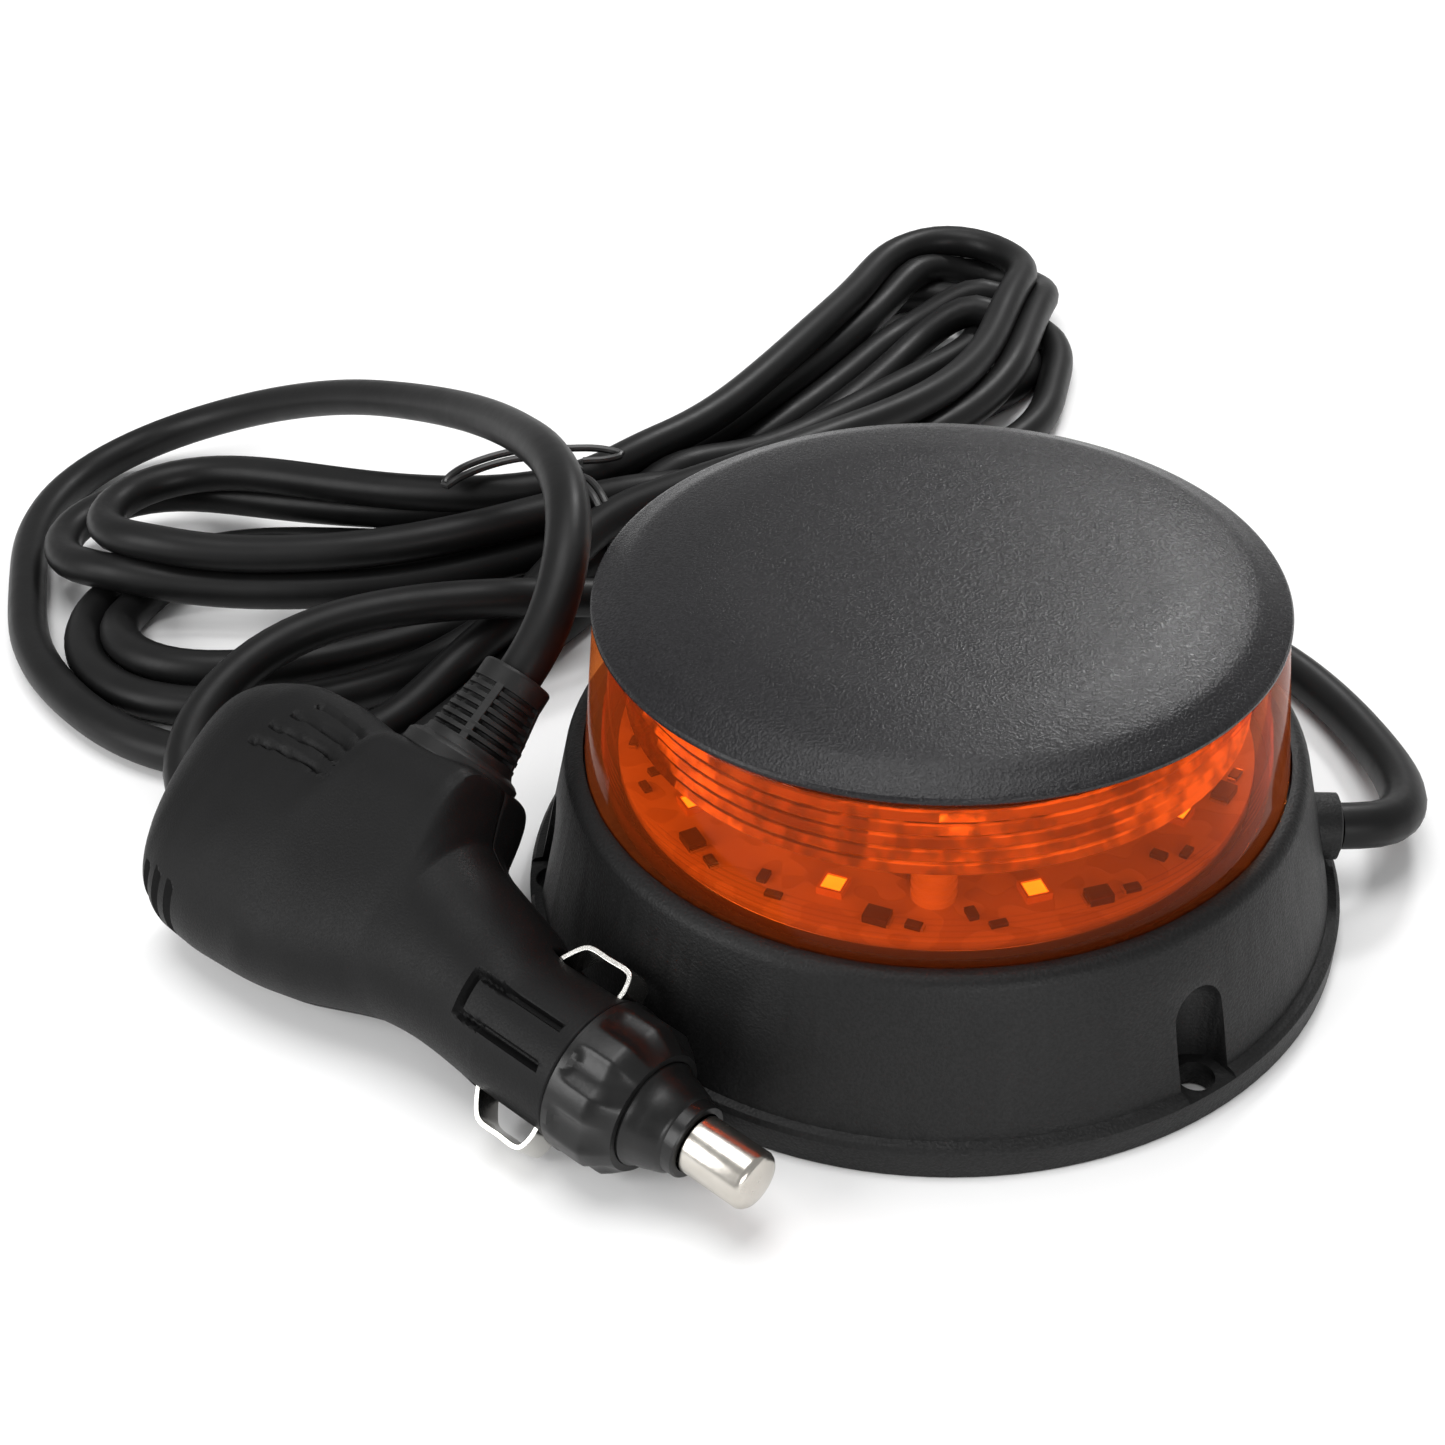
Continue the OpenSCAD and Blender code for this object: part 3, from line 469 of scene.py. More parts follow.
# ---- Driver board and lead's end inside the base ----
# A green round board with a wound coil, two can capacitors, power chips and a white
# connector hangs under the metal plate. Two cores bring the supply in from the lead.

board_green = Finish("board_green", (0.01, 0.09, 0.035), 0.38)
tracks = board_green.ramp(board_green.grain(5, 0), 0.47, 0.5)
board_green.set(Base_Color=board_green.mix(tracks, (0.006, 0.06, 0.022), (0.016, 0.13, 0.05)))
board_green.bump(tracks, 0.035)
node_copy("driver_board_green", "driver_board", board_green, bevel=0.1)
node_copy("board_screws_steel", "board_screws", screw_steel, bevel=0.2)

coil_core = Finish("coil_core", (0.05, 0.05, 0.05), 0.5)
node_copy("coil_bobbin", "inductor", coil_core, bevel=0.2)
coil_copper = Finish("coil_copper", (0.60, 0.24, 0.08), 0.3, Metallic=0.9)
coil_copper.set(Base_Color=coil_copper.mix(coil_copper.grain(2), (0.52, 0.19, 0.06),
                                           (0.72, 0.32, 0.12)))
COIL_X, COIL_Y, COIL_Z, COIL_R, COIL_H = -14, -10, 17.35, 5.9, 3.4
COIL_TURN = 12 * math.pi
coil_line = [(COIL_X + COIL_R * math.cos(a), COIL_Y + COIL_R * math.sin(a),
              COIL_Z + COIL_H * a / COIL_TURN) for a in np.linspace(0, COIL_TURN, 240)]


def swept(line, ring):
    """Points and faces of a small ring of (side, up) offsets carried along a line."""
    line = np.array(line, float)
    count, rows = len(line), len(ring)
    ahead = np.gradient(line, axis=0)
    ahead /= np.linalg.norm(ahead, axis=1)[:, None]
    side = np.cross((0, 0, 1), ahead[0])
    points, faces = [], []
    for at, way_on in zip(line, ahead):
        side = side - way_on * side.dot(way_on)
        side /= np.linalg.norm(side)
        up = np.cross(way_on, side)
        points += [at + side * a + up * b for a, b in ring]
    for k in range(count - 1):
        m = k + 1
        for i in range(rows):
            j = (i + 1) % rows
            faces.append((k * rows + i, k * rows + j, m * rows + j, m * rows + i))
    faces += [tuple(range(rows))[::-1], tuple((count - 1) * rows + i for i in range(rows))]
    return points, faces


def round_ring(radius, count):
    return [(radius * math.cos(a), radius * math.sin(a))
            for a in np.linspace(0, 2 * math.pi, count, endpoint=False)]


add_piece("coil_winding", *swept(coil_line, round_ring(0.28, 8)), coil_copper, slot="coil_core")

can_alu = Finish("can_alu", (0.55, 0.56, 0.58), 0.3, Metallic=0.8)
can_mark = can_alu.ramp(can_alu.axis("Y") * 1000 - 13.0, 0.0, 0.2)
can_alu.set(Base_Color=can_alu.mix(can_mark, (0.03, 0.03, 0.05), (0.58, 0.59, 0.62)))
CAN_OUTLINE = [(0, 0), (4.0, 0), (4.0, 1.0), (3.7, 1.3), (3.7, 1.6), (4.0, 1.9), (4.0, 6.6),
               (3.6, 7.0), (3.3, 7.0), (3.1, 6.8), (0, 6.8)]


def copies(points, faces, spots):
    """Points and faces of one shape set down at each of some spots."""
    all_points, all_faces = [], []
    for dx, dy, dz in spots:
        start = len(all_points)
        all_points += [(x + dx, y + dy, z + dz) for x, y, z in points]
        all_faces += [tuple(i + start for i in f) for f in faces]
    return all_points, all_faces


add_piece("capacitor_cans", *copies(*turned(CAN_OUTLINE, 40), ((-4, 16, 16), (6, 16, 16))),
          can_alu, slot="can_alu", instead=("capacitors",))

chip_black = Finish("chip_black", (0.018, 0.018, 0.02), 0.45)
chip_black.bump(chip_black.grain(0.5, 3), 0.02)
node_copy("driver_chip_bodies", "driver_chips", chip_black, bevel=0.2)
pins_tin = Finish("pins_tin", (0.62, 0.62, 0.60), 0.3, Metallic=1.0)
pins_tin.set(Roughness=0.25 + 0.15 * pins_tin.grain(0.8))


def blocks(spots):
    """Points and faces of boxes, each (x, y, z, length, width, height, turn in degrees)."""
    points, faces = [], []
    corners = [(sx, sy, sz) for sz in (0, 1) for sx, sy in ((-1, -1), (1, -1), (1, 1), (-1, 1))]
    for x, y, z, length, width, height, turn in spots:
        start, c, s = len(points), math.cos(math.radians(turn)), math.sin(math.radians(turn))
        for sx, sy, sz in corners:
            u, v = sx * length / 2, sy * width / 2
            points.append((x + u * c - v * s, y + u * s + v * c, z + sz * height))
        faces += [tuple(start + i for i in f) for f in (
            (3, 2, 1, 0), (4, 5, 6, 7), (0, 1, 5, 4), (1, 2, 6, 5), (2, 3, 7, 6), (3, 0, 4, 7))]
    return points, faces


PIN_PITCH, PIN_Z = 1.27, 16
pin_spots = []
for x0, y0, length, width in ((2, -14, 8, 6), (2, -3, 5, 6), (-20, 6, 6, 5)):
    for step in range(int(length / PIN_PITCH)):
        for side in (-0.4, width + 0.4):
            pin_spots.append((x0 + 0.9 + step * PIN_PITCH, y0 + side, PIN_Z, 0.5, 0.8, 0.3, 0))
add_piece("driver_chip_pins", *blocks(pin_spots), pins_tin, slot="chip_black", bevel=0.05)

connector_white = Finish("connector_white", (0.75, 0.74, 0.68), 0.4)
connector_white.set(Base_Color=connector_white.mix(connector_white.grain(5), (0.7, 0.69, 0.62),
                                                   (0.8, 0.79, 0.73)))
node_copy("wire_connector_white", "wire_connector", connector_white,
          bevel=0.3)
node_copy("cord_grip_white", "cord_grip", connector_white, bevel=0.3)
core_sleeve = Finish("core_colours", (0.3, 0.02, 0.02), 0.4)
core_side = core_sleeve.axis("Y") > 0
core_sleeve.set(Base_Color=core_sleeve.mix(core_side, (0.012, 0.012, 0.012), (0.45, 0.02, 0.015)))
node_copy("lead_cores_sleeved", "lead_cores", core_sleeve, bevel=0.1)

# ---- Light engine: plate, board and light cells ----
# A metal plate carries a white board with nine amber light chips and their small parts.
# Each chip is a moulded frame with a window whose glow is painted light, added to brighten the
# chips seen through the lens.

BOARD_TOP = 27.6
STACK_R = 36.9
CHIP_R = STACK_R + 1.6
CELLS, RIB_AT, CELL_ARC, CHIP_AT = 9, 30, 40, 50
node_copy("heat_plate", "heat_spreader", plate_alu, bevel=0.15)
board_white = Finish("board_white", (0.62, 0.56, 0.44), 0.42)
pads = board_white.ramp(board_white.grain(4.5, 0), 0.5, 0.53)
board_white.set(Base_Color=board_white.mix(pads, (0.66, 0.60, 0.48), (0.56, 0.49, 0.36)))
board_white.bump(pads, 0.04)
node_copy("light_board", "led_board", board_white, bevel=0.1)


def cell_blocks(parts):
    """Points and faces of each part, (x, y, length, width, height) from the chip, in each cell."""
    spots = []
    for x, y, length, width, height in parts:
        for k in range(CELLS):
            a = math.radians(CHIP_AT + 360 * k / CELLS)
            c, s = math.cos(a), math.sin(a)
            spots.append(((CHIP_R + x) * c - y * s, (CHIP_R + x) * s + y * c, BOARD_TOP, length,
                          width, height, math.degrees(a)))
    return blocks(spots)


small_parts = ((3.6, 7.5, 2.6, 3.4, 1.3), (3.2, 12.4, 1.4, 2.2, 0.7),
               (4.4, -6.8, 1.2, 2.4, 0.6), (1.6, -9.4, 2.2, 1.4, 0.8))
add_piece("light_board_parts", *cell_blocks(small_parts), chip_black, slot="chip_black",
          bevel=0.12)
solder_ends = [(x, y, width, 0.5, 0.5) for x, y, width in
               ((3.6, 5.7, 2.4), (3.6, 9.3, 2.4), (3.2, 11.2, 1.2), (3.2, 13.6, 1.2))]
add_piece("light_board_solder", *cell_blocks(solder_ends), pins_tin, slot="board_white",
          bevel=0.08)
led_frame = Finish("led_frame", (0.75, 0.55, 0.25), 0.35)
led_frame.bump(led_frame.grain(0.6), 0.02)
# The windows' emission is painted light: a mottled glow that brightens the chips seen through the
# lens.
led_yellow = Finish("led_yellow", (1.0, 0.45, 0.06), 0.2, Emission_Strength=3.0, Coat_Weight=0.5)
painted_glow_mottle = led_yellow.ramp(led_yellow.grain(1.2), 0.3, 0.7, 0.7, 1.0)
led_yellow.set(Emission_Color=led_yellow.mix(painted_glow_mottle, (0.8, 0.26, 0.02), (1.0, 0.45, 0.06)))
WINDOW, FRAME_T, FRAME_H = 2.8, 0.4, 1.1
frame_bars = ((1.6, 0, FRAME_T, 3.6, FRAME_H), (-1.6, 0, FRAME_T, 3.6, FRAME_H),
              (0, 1.6, WINDOW, FRAME_T, FRAME_H), (0, -1.6, WINDOW, FRAME_T, FRAME_H))
add_piece("led_frames", *cell_blocks(frame_bars), led_frame, slot="led_yellow",
          instead=("led_chips",))
add_piece("led_windows", *cell_blocks([(0, 0, WINDOW, WINDOW, 0.85)]), led_yellow,
          slot="led_yellow")

# ---- Reflector ring ----
# One moulded and metallised ring stands over the board. Each light cell has a concave bowl of
# flat facets, parted by ribs, and the rim above the cells has moulded grooves.

RIM_R, RIM_TOP, RIM_WALL, BOWL_R, BACK_R = 44.5, 48, 1.4, 13.2, 15
SPLITS, RISES = 7, 5
facets = np.random.default_rng(7).uniform(-1, 1, (CELLS, SPLITS, RISES))


def bowl_radius(angle, rise):
    """How far in the bowl's face lies at an angle and at a share of its height."""
    cell = ((angle - RIB_AT) % CELL_ARC) / CELL_ARC
    k = int((angle - RIB_AT) % 360 // CELL_ARC)
    i, j = min(int(cell * SPLITS), SPLITS - 1), min(int(rise * RISES), RISES - 1)
    across = abs(2 * cell - 1)
    scallop = 4.6 * across ** 2.2 * (1 - 0.5 * rise)
    return scallop + 1.9 * facets[k, i, j] * (1 - across ** 6)


reflect_points = []
AROUND = CELLS * SPLITS
rim = [(RIM_R - (0.45 if k % 2 else 0.0), 37.4 + k * 1.06) for k in range(11)]
back = [(RIM_R + BACK_R * math.cos(math.radians(b)), BOARD_TOP + BACK_R * math.sin(math.radians(b)))
        for b in (98, 120, 140, 160, 180)]
for k in range(AROUND):
    for edge in (0.04, 0.96):
        angle = RIB_AT + (k + edge) * 360 / AROUND
        a = math.radians(angle)
        outline = []
        for m in range(RISES):
            for part in (0.06, 0.94):
                rise = (m + part) / RISES
                turn_up = math.radians(180 - 80 * rise)
                inward = bowl_radius(angle, rise)
                outline.append((RIM_R + (BOWL_R - inward) * math.cos(turn_up),
                                BOARD_TOP + (BOWL_R - inward * 0.4) * math.sin(turn_up)))
        outline += [*rim, (RIM_R - RIM_WALL, RIM_TOP), *back]
        reflect_points += [(r * math.cos(a), r * math.sin(a), z) for r, z in outline]
reflect_faces = round_faces(AROUND * 2, len(outline))
optic = Finish("optic_clear", (0.92, 0.90, 0.86), 0.16, Metallic=0.92)
optic.set(Roughness=0.04 + 0.10 * optic.grain(2.5),
          Base_Color=optic.mix(optic.ramp(optic.grain(4), 0.42, 0.6), (0.97, 0.94, 0.9),
                               (0.50, 0.45, 0.40)))
optic.bump(optic.grain(3.2, 1), 0.12, 0.5)
add_piece("reflector_faceted", reflect_points, reflect_faces, optic, smooth=8,
          slot="optic_clear", instead=("reflector_ring",))

# ---- Lens ----
# A clear amber moulded ring, smooth outside, with fine level lines where it thickens at
# its foot and its top. It sits in the base's groove on a flat seal.

LENS_FOOT_R, LENS_TOP_R, LENS_WALL = 50.9, 48.0, 2.6
BASE_H, LENS_TOP_Z = 27.7, 51.4


def lens_radius(z):
    return LENS_FOOT_R - (LENS_FOOT_R - LENS_TOP_R) * max(0, z - BASE_H) / (LENS_TOP_Z - BASE_H)


lens_outline = [(LENS_FOOT_R - LENS_WALL, 25.4), (LENS_FOOT_R, 25.4), (LENS_FOOT_R, BASE_H)]
lens_outline += [(lens_radius(z), z) for z in (28.2, 34, 40, 46, 51.0)]
lens_outline += [(LENS_TOP_R - 0.3, LENS_TOP_Z), (LENS_TOP_R - LENS_WALL + 0.2, LENS_TOP_Z)]
for z in np.linspace(50.6, 46.6, 6):
    lens_outline += [(lens_radius(z) - LENS_WALL + 0.35, z), (lens_radius(z) - LENS_WALL, z - 0.4)]
for z in np.linspace(33.6, 29.0, 6):
    lens_outline += [(lens_radius(z) - LENS_WALL, z), (lens_radius(z) - LENS_WALL + 0.35, z - 0.4)]
lens_amber = Finish("lens_amber", (0.80, 0.15, 0.03), 0.05, Specular_IOR_Level=1.0)
lens_amber.set(Roughness=0.03 + 0.05 * lens_amber.grain(14))
lens_amber.bump(lens_amber.grain(16, 1), 0.12, 0.25)
see_through = lens_amber.node("BsdfTransparent", None, {0: (1.0, 0.57, 0.27, 1)})
edge_on = lens_amber.node("LayerWeight", None, {"Blend": 0.5}, out=1)
edge_on_4 = (edge_on * edge_on) * (edge_on * edge_on)
shine = lens_amber.node("MixShader", None, {0: 0.055 + 0.5 * edge_on_4, 1: see_through,
                                            2: Wire(lens_amber, lens_amber.shader.outputs[0])})
lens_amber.feed(lens_amber.tree.nodes["Material Output"].inputs[0], shine)
add_piece("lens_ring_amber", *turned(lens_outline, 240), lens_amber, smooth=30,
          slot="lens_amber", instead=("lens_ring",))

# ---- Cap and its posts ----
# A die-cast cap with a sloping band and a very low dome, coated in charcoal sand-textured
# powder. Its three ribbed posts take the long screws from below.

cap_coat = sand_coat("cap_coat", (0.005, 0.0048, 0.0055), (0.018, 0.0176, 0.0195), 0.30, 0.06)
CAP_OUTLINE = [(0, 53.0), (0, 56.0), (16, 55.97), (28, 55.9), (32, 55.82), (34, 55.7),
               (36, 55.5), (39, 55.1), (41.6, 54.72), (43, 54.46), (43.8, 54.24),
               (44.5, 53.95), (45.2, 53.64), (46.6, 53.02),
               (47.6, 52.66), (48.05, 52.4), (48.3, 52.05), (48.3, 51.65), (48.15, 51.4),
               (47.2, 51.4), (47.2, 52.1), (45.8, 52.1), (45.8, 51.4), (45.1, 51.4),
               (45.1, 49.0), (43.1, 49.0), (43.1, 52.0)]
add_piece("cap_shell", *turned(CAP_OUTLINE, 300), cap_coat, smooth=24, slot="cap_coat",
          instead=("top_cap",))
POST_R, POST_BORE, POST_TOP, WAIST_R = 3.1, 1.35, 52.4, 2.75
post_outline = [(POST_BORE, BOARD_TOP), (POST_R, BOARD_TOP)]
for k in range(14):
    z = BOARD_TOP + 0.8 + k * 1.6
    post_outline += [(POST_R, z), (WAIST_R, z + 0.3), (WAIST_R, z + 0.7), (POST_R, z + 1.0)]
post_outline += [(POST_R, POST_TOP), (POST_BORE, POST_TOP)]
post_clear = Finish("post_clear", (0.75, 0.70, 0.62), 0.2, Coat_Weight=0.4)
post_clear.set(Base_Color=post_clear.mix(post_clear.grain(3), (0.7, 0.66, 0.58),
                                         (0.85, 0.8, 0.72)))
post_spots = [(STACK_R * math.cos(a), STACK_R * math.sin(a), 0)
              for a in np.radians((30, 150, 270))]
add_piece("cap_posts", *copies(*turned(post_outline, 36), post_spots), post_clear,
          slot="cap_coat")
node_copy("stack_screws_steel", "stack_screws", screw_steel, bevel=0.2)

# ---- Plug: the two grip shells ----
# Two matt black moulded ABS shells meet on the plug's middle plane and are screwed together.
# They form the head, the boss for the boot and the barrel with its contact windows.

PLUG_AT, PLUG_YAW, PLUG_DIP, PLUG_ROLL = (-43.6, -55.4, 11.2), -36, 3.2, 35
plug_frame = Matrix.Translation(Vector(PLUG_AT) * MM)
for turn_angle, turn_axis in ((PLUG_YAW, "Z"), (PLUG_DIP, "Y"), (PLUG_ROLL, "X")):
    plug_frame = plug_frame @ Matrix.Rotation(math.radians(turn_angle), 4, turn_axis)
# Stations along the barrel's line: x, lowest y, highest y, half thickness, squareness below
# and above
shell_table = np.array([
    (-85.2, 9.0, 15.5, 2.5, 2.2, 2.2), (-84.9, 4.0, 18.0, 5.0, 2.2, 2.2),
    (-84.2, -2.0, 19.6, 7.2, 2.3, 2.3), (-82.4, -9.0, 21.0, 9.2, 2.4, 2.4),
    (-79.0, -14.8, 22.9, 10.9, 2.5, 2.4), (-74.0, -17.2, 24.9, 12.0, 2.4, 2.3),
    (-66.0, -17.5, 25.4, 12.5, 2.35, 2.2), (-58.0, -16.9, 24.6, 12.4, 2.4, 2.3),
    (-55.4, -16.6, 24.4, 12.2, 2.6, 3.4), (-54.0, -16.4, 24.5, 12.0, 2.6, 5.2),
    (-46.0, -14.6, 25.2, 11.6, 2.6, 6.0), (-37.6, -11.6, 25.9, 11.3, 2.5, 5.2),
    (-36.4, -11.2, 25.2, 11.2, 2.5, 3.6), (-35.4, -10.9, 22.4, 11.2, 2.4, 2.6),
    (-33.4, -10.3, 17.9, 11.1, 2.3, 2.3), (-30.0, -9.8, 16.0, 11.0, 2.2, 2.2),
    (-26.0, -9.5, 14.9, 10.9, 2.1, 2.1), (-21.6, -9.6, 13.8, 10.7, 2.0, 2.0),
    (-17.0, -9.9, 12.6, 10.6, 2.0, 2.0), (-13.5, -10.3, 11.0, 10.4, 2.0, 2.0),
    (-11.0, -10.4, 10.4, 10.4, 2.0, 2.0), (0.0, -10.4, 10.4, 10.4, 2.0, 2.0)])
WINDOW_X, WINDOW_HALF = (-14.0, -1.0), 3.3
SHELL_STEPS, SHELL_WALL, SEAM_HALF = 104, 1.6, 0.09


def groove(distance, width):
    """1 in the middle of a groove, falling to 0 at its sides."""
    return np.clip(1.3 * (1 - (distance / width) ** 2), 0, 1)


def shell_station(x):
    """The table's values at x: lowest y, highest y, half thickness and both squarenesses."""
    return [np.interp(x, shell_table[:, 0], shell_table[:, k]) for k in range(1, 6)]


def shell_half(side):
    """The outside of one shell, from the plug's middle plane round to it again."""
    fine = [*np.linspace(-85.2, -82.4, 9), *np.arange(-82.0, -56.2, 0.45),
            *np.arange(-56.0, -33.0, 0.4), *np.arange(-33.0, -18.2, 0.7),
            *np.arange(-18.0, -14.2, 0.4), -14.0, *np.arange(-13.6, -1.2, 0.6), -1.0, -0.5, 0]
    # The table is softened a little along x so that the head's lines flow
    angles = np.linspace(0, math.pi, SHELL_STEPS + 1)
    rows = []
    for x in fine:
        soft = 1.3 if x < -37.5 or -32 < x < -18 else 0.35
        if x < -83.4 or x > -11:
            soft = 0.0
        near = [np.array(shell_station(x + d * soft)) for d in (-1, -0.5, 0, 0.5, 1)]
        low, high, half, square_low, square_high = sum(near) / 5
        middle = (low + high) / 2 if x < -13 else 0.0
        row = []
        for a in angles:
            c, s = math.cos(a), math.sin(a)
            power = square_high if c > 0 else square_low
            reach = (high - middle) if c > 0 else (middle - low)
            row.append((x, middle + reach * math.copysign(abs(c) ** (2 / power), c),
                        half * abs(s) ** (2 / power)))
        rows.append(row)
    grid = np.array(rows)
    x, y, z = grid[..., 0], grid[..., 1], grid[..., 2]
    depth = np.zeros_like(x)
    # Four curved finger grooves over the head's upper rear corner
    for k in range(4):
        line_y = 14.0 + 2.7 * k - 0.012 * (x + 60.0 + 1.5 * k) ** 2
        depth += 0.9 * groove(y - line_y, 0.55) * (x > -71.5 + 1.2 * k) * (x < -55.5)
    # Three short slots in the head's lower rear edge
    for k in range(3):
        along = x + 76.5 - 3.1 * k
        depth += 1.2 * groove(along, 0.75) * (y < -10.5) * (z > 3.0) * (z < 9.6)
    if side > 0:
        # The spring tongue's slot on the visible shell, open towards the tip
        on_top = z > 7
        for y_line in (-3.0, 2.8):
            depth += 1.5 * groove(y - y_line, 0.62) * on_top * (x > -17.6) * (x < -2.8)
        depth += 1.5 * groove(x + 17.2, 0.62) * on_top * (y > -3.3) * (y < 3.1)
    inward = np.stack([np.zeros_like(x), -(y - 0.35 * y), -z], -1)
    inward /= np.maximum(np.linalg.norm(inward, axis=-1, keepdims=True), 1e-6)
    grid = grid + inward * np.minimum(depth, 1.5)[..., None]
    grid[..., 2] = np.maximum(grid[..., 2], SEAM_HALF) * side
    faces, width = [], SHELL_STEPS + 1
    for i in range(len(fine) - 1):
        middle_x = (fine[i] + fine[i + 1]) / 2
        for j in range(SHELL_STEPS):
            middle_z = abs(grid[i, j, 2] + grid[i, j + 1, 2]) / 2
            if WINDOW_X[0] < middle_x < WINDOW_X[1] and middle_z < WINDOW_HALF:
                continue
            faces.append((i * width + j, i * width + j + 1, (i + 1) * width + j + 1,
                          (i + 1) * width + j))
    faces.append(tuple(range(width)))
    return grid.reshape(-1, 3), faces


plug_plastic = Finish("plug_plastic", (0.004, 0.004, 0.004), 0.5, Specular_IOR_Level=0.15)
fine_grain = plug_plastic.ramp(plug_plastic.grain(0.32, 2), 0.35, 0.7)
plug_plastic.set(Base_Color=plug_plastic.mix(plug_plastic.grain(12), (0.0035, 0.0035, 0.0036),
                                             (0.008, 0.008, 0.0082)),
                 Roughness=0.40 + 0.12 * fine_grain + 0.1 * plug_plastic.grain(8))
plug_plastic.bump(fine_grain * 0.8 + plug_plastic.grain(2.4) * 0.4, 0.03, 0.7)
for shell_name, side in (("grip_shell_upper", 1), ("grip_shell_lower", -1)):
    shell = add_piece(shell_name + "_moulded", *shell_half(side), plug_plastic, smooth=50,
                      slot="plug_plastic", instead=(shell_name,), place=plug_frame)
    wall = shell.modifiers.new("wall", "SOLIDIFY")
    wall.thickness = SHELL_WALL * MM
    wall.offset = -1
    wall.use_even_offset = False
spigot = [(8.2, -3), (9.4, -3), (9.4, 5), (8.2, 5)]
along_x = Matrix.Rotation(math.radians(90), 4, "Y")
add_piece("grip_spigot", *turned(spigot, 72), plug_plastic, slot="plug_plastic",
          place=plug_frame @ along_x, bevel=0.15)
node_copy("shell_screws_steel", "shell_screws", screw_steel, bevel=0.2)
node_copy("plug_cores_sleeved", "plug_cores", core_sleeve, bevel=0.08)
node_copy("lead_stub_jacket", "lead_stub", jacket, bevel=0.1)

# ---- Boot ----
# A soft PVC strain relief is moulded on the lead. Its collar sits on the boss, and seven
# split ribs joined by four spines taper up to a plain ring.

BOOT_AT, BOSS_TOP = -46.0, 24.0
boot_rubber = Finish("boot_rubber", (0.006, 0.006, 0.006), 0.5, Specular_IOR_Level=0.3)
boot_rubber.set(Base_Color=boot_rubber.mix(boot_rubber.grain(5), (0.004, 0.004, 0.004),
                                           (0.009, 0.009, 0.009)),
                Roughness=0.42 + 0.15 * boot_rubber.grain(2))
boot_rubber.bump(boot_rubber.grain(0.7, 3), 0.03)
boot_frame = (plug_frame @ Matrix.Translation(Vector((BOOT_AT, BOSS_TOP, 0)) * MM)
              @ Matrix.Rotation(math.radians(-90), 4, "X"))
boot_outline = [(3.55, -3), (6.6, -3), (6.6, 0.1), (9.0, 0.1), (9.25, 0.5), (9.1, 2.4),
                (8.5, 2.9), (7.6, 3.3), (7.2, 4.0)]
for k in range(7):
    z, r = 4.0 + k * 1.42, 7.2 - k * 0.26
    boot_outline += [(r, z), (r - 0.05, z + 0.72), (5.15 - k * 0.05, z + 0.74),
                     (5.1 - k * 0.05, z + 1.4)]
boot_outline += [(5.55, 13.9), (5.5, 16.6), (5.2, 17.0), (3.55, 17.0)]
add_piece("boot_ribbed", *turned(boot_outline, 96), boot_rubber, slot="boot_rubber",
          instead=("lead_boot",), place=boot_frame, bevel=0.12)
spine_points, spine_faces = [], []
for k in range(4):
    a = math.radians(20 + 90 * k)
    start = len(spine_points)
    for z, r_out in ((3.6, 7.2), (14.4, 5.5)):
        for r, half in ((4.6, 0.75), (r_out, 0.65)):
            for s in (-1, 1):
                spine_points.append((r * math.cos(a) - s * half * math.sin(a),
                                     r * math.sin(a) + s * half * math.cos(a), z))
    spine_faces += [tuple(start + i for i in f) for f in (
        (0, 1, 3, 2), (4, 6, 7, 5), (0, 2, 6, 4), (1, 5, 7, 3), (0, 4, 5, 1), (2, 3, 7, 6))]
add_piece("boot_spines", spine_points, spine_faces, boot_rubber, slot="boot_rubber",
          place=boot_frame, bevel=0.15)

# ---- Nose: fluted ring, stepped cone and sprung tip ----
# A glass-filled nut screws on the barrel's spigot and clamps a glossy stepped cone. The
# nickel-plated pin slides in the cone on the fuse and its spring.

RING_R, RING_L, FLUTES = 10.8, 10.2, 8
nose_plastic = Finish("nose_plastic", (0.005, 0.005, 0.005), 0.34, Specular_IOR_Level=0.35)
nose_plastic.set(Base_Color=nose_plastic.mix(nose_plastic.grain(6), (0.003, 0.003, 0.003),
                                             (0.008, 0.008, 0.008)),
                 Roughness=0.26 + 0.14 * nose_plastic.grain(1.2))
nose_plastic.bump(nose_plastic.grain(0.6, 3), 0.015)
ring_points, ring_faces = [], []
ring_line = [(0.1, 9.6, 0), (0.1, 10.5, 0), (0.4, RING_R, 0), (1.4, RING_R, 0),
             (2.0, RING_R, 0.75), (3.2, RING_R, 1), (6.2, RING_R, 1), (7.0, 10.7, 1),
             (8.4, 9.8, 0.8), (9.6, 8.9, 0.3), (RING_L, 8.4, 0), (RING_L, 7.5, 0),
             (6.4, 7.5, 0), (6.4, 9.48, 0), (0.1, 9.48, 0)]
RING_STEPS = 192
for k in range(RING_STEPS):
    a = 2 * math.pi * k / RING_STEPS
    lobe = abs(((k * FLUTES / RING_STEPS + 0.5) % 1) - 0.5) * 2
    cut = max(0.0, 1 - (lobe / 0.62) ** 2)
    for x, r, share in ring_line:
        r_here = r - 0.95 * share * cut
        ring_points.append((x, r_here * math.sin(a), r_here * math.cos(a)))
for k in range(RING_STEPS):
    m, rows = (k + 1) % RING_STEPS, len(ring_line)
    ring_faces += [(k * rows + i, k * rows + (i + 1) % rows, m * rows + (i + 1) % rows,
                    m * rows + i) for i in range(rows)]
add_piece("nose_ring_fluted", ring_points, ring_faces, nose_plastic, smooth=38, body="nut",
          slot="nose_plastic", instead=("nose_ring",), place=plug_frame)
